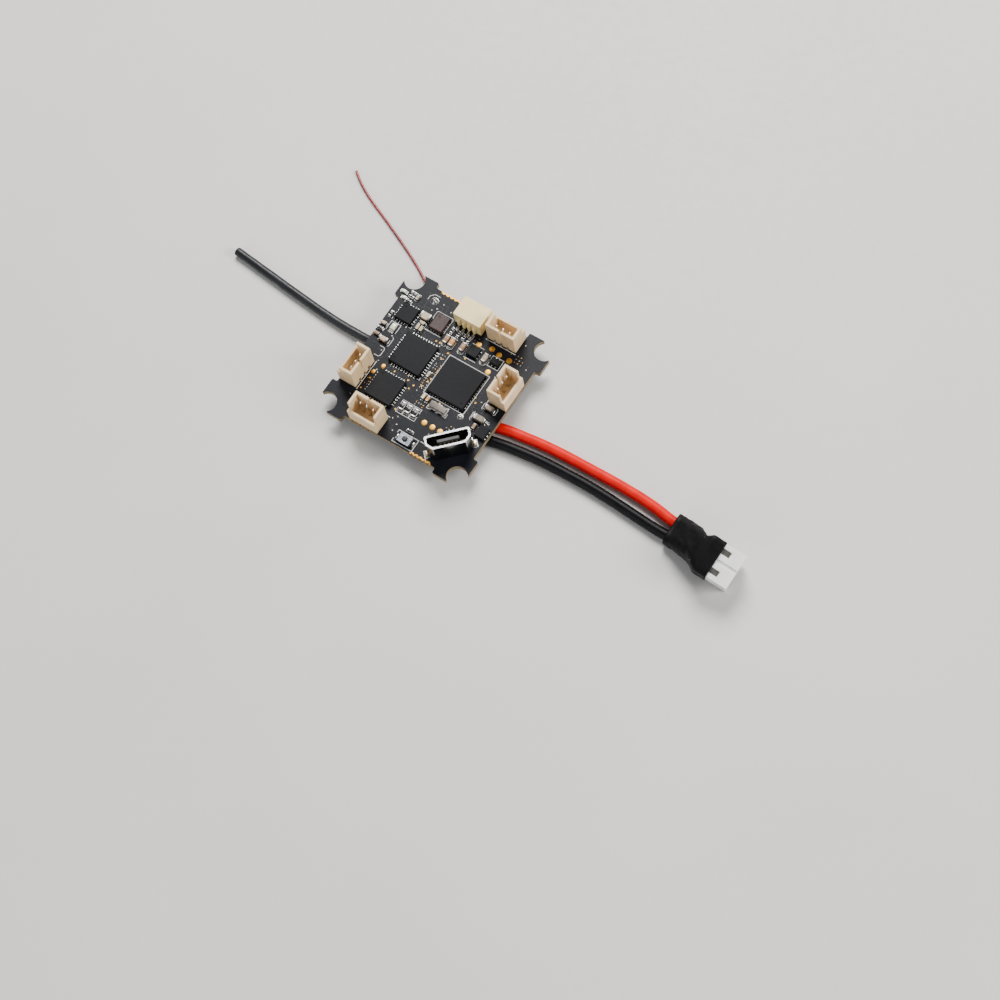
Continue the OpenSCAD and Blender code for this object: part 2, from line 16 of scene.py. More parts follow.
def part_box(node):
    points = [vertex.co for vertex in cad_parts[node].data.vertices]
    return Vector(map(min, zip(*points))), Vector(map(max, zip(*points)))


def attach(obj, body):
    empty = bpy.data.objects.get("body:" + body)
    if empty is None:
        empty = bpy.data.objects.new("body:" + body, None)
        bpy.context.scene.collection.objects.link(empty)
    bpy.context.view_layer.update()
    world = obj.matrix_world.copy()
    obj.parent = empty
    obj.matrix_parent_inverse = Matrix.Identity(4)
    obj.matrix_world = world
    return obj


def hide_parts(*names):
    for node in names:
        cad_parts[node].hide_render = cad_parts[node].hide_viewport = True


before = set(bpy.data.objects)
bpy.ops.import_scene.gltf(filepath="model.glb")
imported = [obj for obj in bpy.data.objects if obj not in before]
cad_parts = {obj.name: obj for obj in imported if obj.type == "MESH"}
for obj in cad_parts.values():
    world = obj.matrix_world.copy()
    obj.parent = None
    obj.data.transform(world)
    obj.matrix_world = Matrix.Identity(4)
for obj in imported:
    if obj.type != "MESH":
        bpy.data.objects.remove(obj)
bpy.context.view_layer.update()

MM = 0.001
BOARD, PLUNGER = "board", "plunger"


# ---- Places, read from the frame ----

class Spot:
    """A box of the CAD model in millimetres, and the place of a part that stands in it."""

    def __init__(self, lo, hi):
        self.lo, self.hi = lo, hi
        self.mid, self.size, self.half = (lo + hi) / 2, hi - lo, (hi - lo) / 2
        self.upper = self.mid.z > MIDDLE_Z

    def tall(self):
        """Height over the face of the board."""
        return self.hi.z - TOP_Z if self.upper else UNDER_Z - self.lo.z

    def ground(self, turn=0):
        return on_face(self.mid.x, self.mid.y, 1 if self.upper else -1, turn)


def cad(node):
    lo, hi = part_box(node)
    return Spot(Vector(lo) / MM, Vector(hi) / MM)


def cad_shells(node):
    """A CAD node's surface in millimetres, with its flat faces whole."""
    part = bmesh.new()
    part.from_mesh(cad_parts[node].data)
    bmesh.ops.scale(part, vec=Vector((1, 1, 1)) / MM, verts=part.verts)
    bmesh.ops.remove_doubles(part, verts=part.verts, dist=1e-4)
    bmesh.ops.dissolve_limit(part, angle_limit=math.radians(1), verts=part.verts,
                             edges=part.edges)
    return part


def solids(node):
    """The box of each separate solid in a CAD node, sorted by place."""
    part = cad_shells(node)
    left, boxes = set(part.verts), []
    while left:
        group, ends = set(), [left.pop()]
        while ends:
            v = ends.pop()
            group.add(v)
            for e in v.link_edges:
                other = e.other_vert(v)
                if other in left:
                    left.discard(other)
                    ends.append(other)
        boxes.append(Spot(*(Vector([end(v.co[k] for v in group) for k in range(3)])
                            for end in (min, max))))
    part.free()
    return sorted(boxes, key=lambda spot: (round(spot.lo.x, 2), round(spot.lo.y, 2)))


def move(x=0.0, y=0.0, z=0.0, turn=0.0):
    """A turn about Z in degrees, then a shift."""
    return Matrix.Translation((x, y, z)) @ Matrix.Rotation(math.radians(turn), 4, "Z")


def on_face(x, y, face=1, turn=0):
    """The place of a part, drawn standing on z = 0, on the upper (1) or lower (-1) face."""
    return move(x, y, TOP_Z, turn) if face > 0 else move(x, y, UNDER_Z, turn) @ FLIP


UNDER_Z, TOP_Z = (corner[2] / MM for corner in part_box("circuit_board"))
MIDDLE_Z = (UNDER_Z + TOP_Z) / 2
FLIP = Matrix.Rotation(math.pi, 4, "X")
UPRIGHT = Matrix.Rotation(math.pi / 2, 4, "X")   # a profile drawn in XY stands up in XZ
ENDS = (move(), move(turn=180))                  # the two ends of a part that lies along X


# ---- Materials ----

def finish(name, dark, light, rough, metal=0.0, grain=3, tooth=16, relief=3,
           stretch=(1, 1, 1), speck=None, gloss=0.5, milk=(), **sockets):
    """A procedural material.

    grain and tooth are cycles per millimetre of the colour and of the surface; relief is the
    surface's depth in micrometres; speck is (colour, cycles per millimetre, share covered);
    milk is the weight, scale and radius of the light that goes through it.
    """
    mat = bpy.data.materials.new(name)
    mat.use_nodes = True
    nodes, links = mat.node_tree.nodes, mat.node_tree.links
    shader = nodes["Principled BSDF"]

    def cloud(cycles, detail):
        node = nodes.new("ShaderNodeTexNoise")
        node.inputs["Scale"].default_value = cycles
        node.inputs["Detail"].default_value = detail
        links.new(places.outputs["Vector"], node.inputs["Vector"])
        return node.outputs["Fac"]

    def spread(value, low, high, to_low=0.0, to_high=1.0):
        node = nodes.new("ShaderNodeMapRange")
        links.new(value, node.inputs["Value"])
        for socket, number in (("From Min", low), ("From Max", high),
                               ("To Min", to_low), ("To Max", to_high)):
            node.inputs[socket].default_value = number
        return node.outputs["Result"]

    def blend(amount, first, second):
        node = nodes.new("ShaderNodeMix")
        node.data_type = "RGBA"
        links.new(amount, node.inputs[0])
        for socket, colour in ((node.inputs[6], first), (node.inputs[7], second)):
            if isinstance(colour, tuple):
                socket.default_value = (*colour, 1)
            else:
                links.new(colour, socket)
        return node.outputs[2]

    coords = nodes.new("ShaderNodeTexCoord")
    places = nodes.new("ShaderNodeMapping")
    places.inputs["Scale"].default_value = Vector(stretch) / MM
    links.new(coords.outputs["Object"], places.inputs["Vector"])

    colour = blend(spread(cloud(grain, 5), 0.35, 0.65), dark, light)
    if speck:
        tint, cycles, share = speck
        edge = 0.72 - 0.3 * share
        colour = blend(spread(cloud(cycles, 1), edge, edge + 0.05), colour, tint)
    links.new(colour, shader.inputs["Base Color"])
    surface = cloud(tooth, 3)
    links.new(spread(surface, 0.3, 0.7, *rough), shader.inputs["Roughness"])
    bump = nodes.new("ShaderNodeBump")
    bump.inputs["Strength"].default_value = 0.8
    bump.inputs["Distance"].default_value = relief * 1e-6
    links.new(surface, bump.inputs["Height"])
    links.new(bump.outputs["Normal"], shader.inputs["Normal"])
    sockets.update({"Metallic": metal, "Specular IOR Level": gloss})
    sockets.update(zip(("Subsurface Weight", "Subsurface Scale", "Subsurface Radius"), milk))
    for socket, value in sockets.items():
        shader.inputs[socket.replace("_", " ")].default_value = value
    return mat


MASK = finish("solder_mask", (0.0045, 0.0052, 0.0085), (0.0070, 0.0078, 0.0120), (0.34, 0.48),
              grain=0.4, tooth=5, gloss=0.16)
TRACK = finish("masked_copper", (0.0095, 0.0105, 0.0145), (0.0135, 0.0145, 0.0195), (0.32, 0.46),
               grain=1.5, tooth=7, relief=2, gloss=0.22)
FIBRE = finish("laminate_edge", (0.11, 0.080, 0.040), (0.30, 0.24, 0.14), (0.6, 0.8), grain=1.2,
               tooth=9, relief=12, stretch=(0.6, 0.6, 7))
INK = finish("white_ink", (0.52, 0.52, 0.51), (0.72, 0.72, 0.70), (0.5, 0.65))
GOLD = finish("gold_plate", (0.52, 0.25, 0.035), (0.68, 0.37, 0.07), (0.3, 0.46), 0.95, grain=4,
              tooth=18, relief=2)
SOLDER = finish("solder", (0.25, 0.25, 0.25), (0.48, 0.48, 0.47), (0.14, 0.36), 1.0, tooth=6,
                relief=7)
TIN = finish("tinned_end", (0.21, 0.20, 0.18), (0.37, 0.355, 0.325), (0.26, 0.44), 1.0, grain=5,
             tooth=20)
EPOXY = finish("mould_compound", (0.0052, 0.0056, 0.0072), (0.0082, 0.0087, 0.0106), (0.48, 0.62),
               grain=4, tooth=24, relief=4, speck=((0.015, 0.0155, 0.019), 26, 0.2), gloss=0.14)
SENSOR = finish("sensor_compound", (0.030, 0.014, 0.013), (0.050, 0.026, 0.024), (0.3, 0.45),
                grain=2, tooth=20, gloss=0.25)
ALUMINA = finish("white_ceramic", (0.62, 0.61, 0.58), (0.78, 0.77, 0.74), (0.5, 0.65), grain=5,
                 tooth=22, relief=4)
GLAZE = finish("resistor_glaze", (0.008, 0.008, 0.009), (0.016, 0.016, 0.017), (0.16, 0.3),
               tooth=8, relief=4)
LID = finish("package_lid", (0.088, 0.074, 0.062), (0.145, 0.124, 0.108), (0.34, 0.46), 0.4,
             grain=2, tooth=12, stretch=(0.3, 1, 1))
DIODE = finish("grey_package", (0.14, 0.115, 0.085), (0.24, 0.205, 0.16), (0.4, 0.55), relief=5)
TERMINAL = finish("bright_leadframe", (0.46, 0.445, 0.40), (0.68, 0.66, 0.60), (0.16, 0.3), 1.0,
                  grain=4, tooth=15)
BRASS = finish("gilt_brass", (0.62, 0.46, 0.24), (0.86, 0.70, 0.42), (0.22, 0.36), 1.0, tooth=14,
               relief=2)
PIN = finish("tinned_pin", (0.74, 0.70, 0.60), (0.92, 0.88, 0.78), (0.18, 0.3), 1.0, tooth=14,
             relief=2)
# Shell steel kept darker than bright steel: painted shade for its dark reflections. The rim steel
# after it is a bright copy of the same steel: painted highlight on the shell's top edge.
SHELL = finish("shell_steel", (0.28, 0.27, 0.26), (0.42, 0.41, 0.40), (0.09, 0.18), 1.0, grain=0.7,
               tooth=8, relief=1, stretch=(1, 1, 0.2))
LIT_RIM_STEEL = finish("shell_rim_painted_highlight", (0.78, 0.78, 0.79), (0.92, 0.92, 0.93), (0.2, 0.34), 1.0, grain=2,
             tooth=12, relief=2)
COVER = finish("cover_steel", (0.27, 0.29, 0.35), (0.43, 0.46, 0.53), (0.16, 0.3), 1.0, grain=1.5,
               tooth=12, stretch=(0.3, 1, 1))
MOULDED = finish("black_moulding", (0.010, 0.010, 0.011), (0.018, 0.018, 0.019), (0.34, 0.5),
                 grain=2, tooth=18, relief=4, gloss=0.4)
TONGUE = finish("grey_moulding", (0.035, 0.034, 0.036), (0.055, 0.053, 0.055), (0.3, 0.45),
                grain=2)
SOCKET = finish("socket_nylon", (0.74, 0.54, 0.31), (0.84, 0.64, 0.39), (0.38, 0.52), grain=0.6,
                tooth=9, relief=6, speck=((0.62, 0.42, 0.22), 9, 0.15),
                milk=(0.3, 0.0005, (1.0, 0.6, 0.3)))
CREAM = finish("camera_nylon", (0.95, 0.74, 0.35), (1.0, 0.82, 0.45), (0.36, 0.5), grain=0.6,
               tooth=9, relief=6, milk=(0.3, 0.0005, (1.0, 0.8, 0.5)))
LENS = finish("lamp_lens", (0.72, 0.76, 0.56), (0.86, 0.89, 0.72), (0.12, 0.25), tooth=8, relief=2,
              milk=(0.4, 0.0003), Coat_Weight=0.6, Coat_Roughness=0.1)
PHOSPHOR = finish("lamp_phosphor", (0.80, 0.72, 0.18), (0.90, 0.84, 0.35), (0.5, 0.6), grain=8,
                  tooth=20, relief=4)
FERRITE = finish("ferrite", (0.035, 0.035, 0.038), (0.07, 0.07, 0.074), (0.5, 0.7), grain=5,
                 relief=12, speck=((0.14, 0.14, 0.15), 14, 0.4))
TANTALUM = finish("tantalum_moulding", (0.62, 0.32, 0.05), (0.76, 0.44, 0.09), (0.42, 0.56),
                  grain=2, tooth=18, relief=5)
BAND = finish("polarity_band", (0.16, 0.06, 0.02), (0.24, 0.10, 0.04), (0.45, 0.6), tooth=18)
RED = finish("red_silicone", (0.62, 0.0006, 0.0003), (0.76, 0.0012, 0.0006), (0.32, 0.44),
             grain=0.5, tooth=7, relief=8, gloss=0.1)
BLACK = finish("black_silicone", (0.0022, 0.0022, 0.003), (0.004, 0.004, 0.0052), (0.34, 0.48),
               grain=0.5, tooth=7, relief=8, speck=((0.012, 0.012, 0.014), 5, 0.1), gloss=0.12)
SHRINK = finish("heat_shrink", (0.0018, 0.0018, 0.0024), (0.0035, 0.0035, 0.0042), (0.42, 0.60),
                grain=0.8, tooth=5, relief=20, speck=((0.010, 0.010, 0.011), 11, 0.12), gloss=0.13)
PLUG = finish("plug_nylon", (0.88, 0.88, 0.85), (0.97, 0.97, 0.95), (0.34, 0.5), grain=0.5,
              tooth=8, relief=6, milk=(0.35, 0.0009, (1.0, 0.95, 0.85)))
SLEEVE = finish("antenna_sleeve", (0.010, 0.011, 0.013), (0.019, 0.020, 0.024), (0.30, 0.44),
                grain=0.7, tooth=6, relief=14, stretch=(0.25, 1, 1), gloss=0.28)
ENAMEL = finish("wire_insulation", (0.17, 0.004, 0.005), (0.30, 0.012, 0.011), (0.24, 0.38),
                grain=1, tooth=8, stretch=(0.3, 1, 1), Coat_Weight=0.2)
STRANDS = finish("tinned_strands", (0.62, 0.60, 0.57), (0.85, 0.84, 0.81), (0.25, 0.4), 1.0,
                 grain=8, tooth=10, relief=20, stretch=(0.2, 2, 2))
CERAMICS = {
    name: finish("ceramic_" + name, tuple(0.82 * c for c in colour), colour, (0.34, 0.5),
                 relief=4, speck=(tuple(0.6 * c for c in colour), 12, 0.25))
    for name, colour in (("brown", (0.28, 0.15, 0.075)), ("orange", (0.58, 0.27, 0.09)),
                         ("beige", (0.55, 0.43, 0.28)), ("stone", (0.40, 0.33, 0.25)),
                         ("straw", (0.74, 0.62, 0.36)))
}


# ---- Shapes ----

def arc(centre, r, start, end, steps):
    """Points on an arc, its angles in degrees."""
    angles = [math.radians(start + (end - start) * k / steps) for k in range(steps + 1)]
    return [Vector((centre[0] + r * math.cos(a), centre[1] + r * math.sin(a)))
            for a in angles]


def circle(count, start=0.0):
    """Points spaced evenly round a circle of radius 1."""
    return [Vector((math.cos(a), math.sin(a)))
            for a in (math.tau * (k + start) / count for k in range(count))]


def soften(corners, steps=4):
    """A closed loop whose corners (x, y, cut) are rounded over their last `cut` millimetres."""
    loop = []
    for i, (x, y, cut) in enumerate(corners):
        here = Vector((x, y))
        if not cut:
            loop.append(here)
            continue
        before = Vector(corners[i - 1][:2]) - here
        after = Vector(corners[(i + 1) % len(corners)][:2]) - here
        a, b = here + before.normalized() * cut, here + after.normalized() * cut
        for k in range(steps + 1):
            t = k / steps
            loop.append(a * (1 - t) ** 2 + here * (2 * t * (1 - t)) + b * t * t)
    return loop


def rectangle(x, y, cut, steps=3):
    """A rectangle about the origin with half sides x and y."""
    return soften([(-x, -y, cut), (x, -y, cut), (x, y, cut), (-x, y, cut)], steps)


def squared(points, x, y):
    """The points moved out along their directions to a rectangle with half sides x and y."""
    return [p * min(x / max(abs(p.x), 1e-6), y / max(abs(p.y), 1e-6)) for p in points]


def inset(loop, d):
    """An anticlockwise loop moved inwards by d."""
    moved = []
    for i, p in enumerate(loop):
        u = (p - loop[i - 1]).normalized()
        v = (loop[(i + 1) % len(loop)] - p).normalized()
        n = Vector((-u.y - v.y, u.x + v.x)).normalized()
        moved.append(p + n * (d / max(n.dot(Vector((-u.y, u.x))), 0.45)))
    return moved


def at_height(loop, z):
    return [Vector((p[0], p[1], z)) for p in loop]


def rounded(part, r, steps=1):
    """Rounds every edge of more than 30 degrees."""
    limit = math.radians(30)
    edges = [e for e in part.edges if len(e.link_faces) == 2 and e.calc_face_angle(0) > limit]
    bmesh.ops.bevel(part, geom=edges, offset=r, segments=steps, profile=0.5,
                    affect="EDGES", clamp_overlap=True)
    return part


class Shape:
    """Closed shells gathered into one mesh, each shell with its material."""

    def __init__(self):
        self.mesh = bmesh.new()
        self.finishes = []

    def index(self, mat):
        if mat not in self.finishes:
            self.finishes.append(mat)
        return self.finishes.index(mat)

    def take(self, part, mat, place=None):
        """Adds a bmesh's shells and frees it."""
        if place is not None:
            bmesh.ops.transform(part, matrix=place, verts=part.verts)
        bmesh.ops.recalc_face_normals(part, faces=part.faces)
        k = self.index(mat)
        for f in part.faces:
            f.material_index = k
        scratch = bpy.data.meshes.new("scratch")
        part.to_mesh(scratch)
        part.free()
        self.mesh.from_mesh(scratch)
        bpy.data.meshes.remove(scratch)
        return self

    def add(self, other, place):
        """Adds a copy of another shape."""
        scratch = bpy.data.meshes.new("scratch")
        other.mesh.to_mesh(scratch)
        scratch.transform(place)
        table = [self.index(m) for m in other.finishes]
        for p in scratch.polygons:
            p.material_index = table[p.material_index]
        self.mesh.from_mesh(scratch)
        bpy.data.meshes.remove(scratch)
        return self

    def rings(self, rings, mat, closed=False, place=None):
        """Skins a row of equal loops of points, with a face over each end unless closed."""
        part = bmesh.new()
        rows = [[part.verts.new(p) for p in ring] for ring in rings]
        pairs = list(zip(rows, rows[1:])) + ([(rows[-1], rows[0])] if closed else [])
        for low, high in pairs:
            for i in range(len(low)):
                part.faces.new((low[i - 1], low[i], high[i], high[i - 1]))
        for row in () if closed else (rows[0], rows[-1]):
            if len(row) <= 24:
                part.faces.new(row)
                continue
            for corners in tessellate_polygon([[v.co for v in row]]):
                part.faces.new([row[k] for k in corners])
        return self.take(part, mat, place)

    def box(self, lo, hi, mat, r=0.03, steps=1, place=None):
        part = bmesh.new()
        bmesh.ops.create_cube(part, size=1)
        lo, hi = Vector(lo), Vector(hi)
        size, mid = hi - lo, (lo + hi) / 2
        for v in part.verts:
            v.co = mid + v.co * size
        if r:
            rounded(part, min(r, 0.42 * min(size)), steps)
        return self.take(part, mat, place)

    def bar(self, x0, x1, width, z0, z1, mat, r=0.03, steps=1, place=None):
        """A box along X with its middle on the axis."""
        return self.box((x0, -width / 2, z0), (x1, width / 2, z1), mat, r, steps, place)

    def prism(self, loop, z0, z1, mat, top=(0.02, 0.02), foot=(0, 0), place=None):
        """An upright block over a loop. top and foot are (inset, height) of its rims."""
        rings = [at_height(loop, z0 + foot[1]), at_height(loop, z1 - top[1])]
        if foot[0]:
            rings.insert(0, at_height(inset(loop, foot[0]), z0))
        if top[0]:
            rings.append(at_height(inset(loop, top[0]), z1))
        return self.rings(rings, mat, place=place)

    def wall(self, outer, inner, z0, z1, mat, r):
        """An upright wall between two loops of equal count, with a rounded top rim."""
        rings = [at_height(outer, z0), at_height(outer, z1 - r), at_height(inset(outer, r), z1),
                 at_height(inset(inner, -r), z1), at_height(inner, z1 - r),
                 at_height(inner, z0)]
        return self.rings(rings, mat, closed=True)

    def lathe(self, profile, mat, steps=24, place=None):
        """Turns a profile of (radius, height) about Z. Off the axis, it closes on itself."""
        part = bmesh.new()
        rows = []
        for r, z in profile:
            if r == 0:
                rows.append([part.verts.new((0, 0, z))] * steps)
            else:
                rows.append([part.verts.new((r * p.x, r * p.y, z)) for p in circle(steps)])
        shut = profile[0][0] != 0 and profile[-1][0] != 0
        for low, high in list(zip(rows, rows[1:])) + ([(rows[-1], rows[0])] if shut else []):
            for i in range(steps):
                corners = list(dict.fromkeys((low[i - 1], low[i], high[i], high[i - 1])))
                part.faces.new(corners)
        return self.take(part, mat, place)

    def tube(self, path, radius, mat, sides=12):
        """Sweeps a circle along a path. radius is one number or one for each point."""
        path = [Vector(p) for p in path]
        radii = radius if isinstance(radius, list) else [radius] * len(path)
        rings, side = [], None
        for i, p in enumerate(path):
            ahead = (path[min(i + 1, len(path) - 1)] - path[max(i - 1, 0)]).normalized()
            if side is None:
                side = ahead.orthogonal().normalized()
            side = (side - ahead * side.dot(ahead)).normalized()
            up = ahead.cross(side)
            rings.append([p + radii[i] * (q.x * side + q.y * up) for q in circle(sides)])
        return self.rings(rings, mat)

    def strip(self, points, width, z0, z1, mat, closed=False):
        """A flat ribbon along a line."""
        points = [Vector(p) for p in points]
        n, rings = len(points), []
        for i, p in enumerate(points):
            a = points[i - 1] if i or closed else p
            b = points[(i + 1) % n] if i < n - 1 or closed else p
            u = (p - a).normalized() if p != a else (b - p).normalized()
            v = (b - p).normalized() if b != p else u
            normal = Vector((-u.y - v.y, u.x + v.x)).normalized()
            half = width / 2 / max(normal.dot(Vector((-u.y, u.x))), 0.5)
            rings.append([Vector((*(p + normal * side * half * slim), z))
                          for side, slim, z in ((-1, 1, z0), (1, 1, z0), (1, 0.88, z1),
                                                (-1, 0.88, z1))])
        return self.rings(rings, mat, closed=closed)

    def foot(self, width, reach, climb, place):
        """Solder that climbs a wall: it stands at the origin and runs out along +X."""
        curve = [(reach * (1 - math.sin(a)), climb * (1 - math.cos(a)))
                 for a in (math.pi / 2 * k / 5 for k in range(6))]
        loop = [Vector(p) for p in [(-0.03, 0.0)] + curve + [(-0.03, climb)]]
        rings = [at_height([p * slim for p in loop], s * width / 2)
                 for s, slim in ((-1, 0.8), (-0.85, 1), (0.85, 1), (1, 0.8))]
        return self.rings(rings, SOLDER, place=place @ UPRIGHT)

    def joint(self, place, pad, foot, top=0.035, r=0.015, z=0.02):
        """Solder that runs out along +X and climbs a wall.

        pad is its (start, end, width); foot is (where, width, reach, climb) of its slope.
        """
        self.bar(*pad, -0.01, top, SOLDER, r, place=place)
        return self.foot(*foot[1:], place @ move(foot[0], 0, z))

    def object(self, name):
        """One object of the gathered shells, in metres."""
        bmesh.ops.scale(self.mesh, vec=Vector((MM, MM, MM)), verts=self.mesh.verts)
        mesh = bpy.data.meshes.new(name)
        self.mesh.to_mesh(mesh)
        self.mesh.free()
        for mat in self.finishes:
            mesh.materials.append(mat)
        obj = bpy.data.objects.new(name, mesh)
        bpy.context.collection.objects.link(obj)
        return obj

    def make(self, name, slot, *nodes, body=BOARD, sharp=42):
        """A smooth-shaded piece of the gathered shells, which rides on a body."""
        obj = self.object(name)
        obj.data.shade_smooth()
        obj.data.set_sharp_from_angle(angle=math.radians(sharp))
        obj.modifiers.new("even_shading", "WEIGHTED_NORMAL").keep_sharp = True
        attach(obj, body)
        if nodes:
            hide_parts(*nodes)
        return obj


# ---- Camera and light ----

def stage():
    """Camera at the photograph's viewing angle, soft studio lights and a pale floor."""
    scene = bpy.context.scene
    camera = bpy.data.objects.new("camera", bpy.data.cameras.new("camera"))
    camera.data.lens = 79.2
    camera.data.sensor_width = 36
    camera.data.clip_start, camera.data.clip_end = 0.01, 20
    camera.location = (0.119601, -0.103764, 0.320455)
    camera.rotation_euler = [math.radians(a) for a in (22.265, 5.762, 33.5)]
    scene.collection.objects.link(camera)
    scene.camera = camera

    def area(name, at, size, power, colour):
        lamp = bpy.data.lights.new(name, "AREA")
        lamp.shape = "DISK"
        lamp.size, lamp.energy, lamp.color = size, power, colour
        obj = bpy.data.objects.new(name, lamp)
        obj.location = at
        obj.rotation_euler = (-Vector(at)).to_track_quat("-Z", "Y").to_euler()
        scene.collection.objects.link(obj)

    area("key", (-0.28, 0.52, 0.66), 0.5, 13, (1.0, 0.99, 0.97))
    area("side", (0.72, 0.22, 0.42), 0.4, 7, (1.0, 0.97, 0.93))
    area("front", (-0.1, -0.75, 0.4), 0.6, 2.5, (0.96, 0.98, 1.0))

    world = bpy.data.worlds.new("studio")
    world.use_nodes = True
    sky = world.node_tree.nodes["Background"]
    sky.inputs["Color"].default_value = (0.86, 0.88, 0.90, 1)
    sky.inputs["Strength"].default_value = 0.28
    scene.world = world

    floor = Shape()
    floor.prism([3000 * p for p in circle(48)], -20, 0,
                finish("floor", (0.66, 0.65, 0.635), (0.69, 0.68, 0.665), (0.5, 0.6),
                       grain=0.02, tooth=0.6, relief=8), top=(0, 0))
    floor.object("floor")


stage()


# ---- Cords ----

LEAD_D, TUBE_D, WIRE_D = 1.8, 1.5, 0.45
LEAD_Z, TUBE_Z, WIRE_Z = LEAD_D / 2, TUBE_D / 2, WIRE_D / 2
RED_ROUTE = [(10.6, -2.2, 1.1), (12.4, -1.8, 1.0)] + at_height([
    (15, -1.2), (18, -0.8), (21, -0.45), (24, -0.25), (27, -0.15), (30, -0.1), (33, -0.05),
    (36, -0.05), (39, -0.15), (42, -0.4), (44.2, -0.75), (45.3, -0.9), (46.1, -0.9)], LEAD_Z)
BLACK_ROUTE = [(10.6, -4.9, 1.1), (12.4, -4.4, 1.0)] + at_height([
    (15, -3.85), (18, -3.4), (21, -3.05), (24, -2.85), (27, -2.75), (30, -2.7), (33, -2.75),
    (36, -2.9), (39, -3.1), (42, -3.3), (44.2, -3.4), (45.3, -3.4), (46.1, -3.4)], LEAD_Z)
TUBE_ROUTE = [(-10.2, 0.4, 1.3), (-12, 0.45, 1.15), (-14, 0.55, 0.85)] + at_height([
    (-16, 0.55), (-18, 0.55), (-20, 0.6), (-22.5, 0.75), (-25, 0.95), (-28, 1.25), (-31, 1.55),
    (-34, 1.9), (-37, 2.2), (-39.5, 2.5), (-41.5, 2.7), (-42.9, 2.85)], TUBE_Z)
WIRE_ROUTE = [
    (-7.7, 11.1, 1.65), (-9.0, 11.95, 1.6), (-10.2, 12.9, 1.25), (-11.3, 13.7, 0.8),
    (-12.6, 14.6, 0.4)] + at_height([
    (-14, 15.5), (-16, 16.6), (-18.2, 17.7), (-20.5, 18.8), (-22.8, 19.85), (-25, 20.85),
    (-27.2, 21.8), (-29.4, 22.8), (-31.2, 23.75), (-32.8, 24.75), (-34.35, 25.9)], WIRE_Z)


def smooth(route):
    """A smooth line through the route's points."""
    steps = 8
    p = [Vector(q) for q in route]
    p = [2 * p[0] - p[1]] + p + [2 * p[-1] - p[-2]]
    line = []
    for a, b, c, d in zip(p, p[1:], p[2:], p[3:]):
        for k in range(steps):
            t = k / steps
            line.append(0.5 * (2 * b + (c - a) * t + (2 * a - 5 * b + 4 * c - d) * t * t
                               + (3 * b - a - 3 * c + d) * t ** 3))
    return line + [p[-2]]


def cord(name, route, diameter, mat, slot, node, tip=None,
         lumps=0.03, sides=24):
    """A cord along its route. tip(left) narrows it by the length that is left to its tip."""
    line = smooth(route)
    for p in line:
        p.z = max(p.z, diameter / 2)
    whole = sum((b - a).length for a, b in zip(line, line[1:]))
    left, radii = whole, []
    for i, p in enumerate(line):
        left -= (p - line[i - 1]).length if i else 0
        share = min(1, 1 + lumps * noise.noise(p * 0.5))
        radii.append(diameter / 2 * share * (tip(left) if tip else 1))
    piece = Shape().tube(line, radii, mat, sides).make(name, slot, node)


PLUG_L, PLUG_W, PLUG_H = 7.1, 5.9, 4.5
PLUG_PIN_GAP = 1.0
PLUG_AT = (Matrix.Translation((55.05, -3.95, 3.4))
           @ Matrix.Rotation(math.radians(10), 4, "Y")
           @ Matrix.Rotation(math.radians(11), 4, "X"))


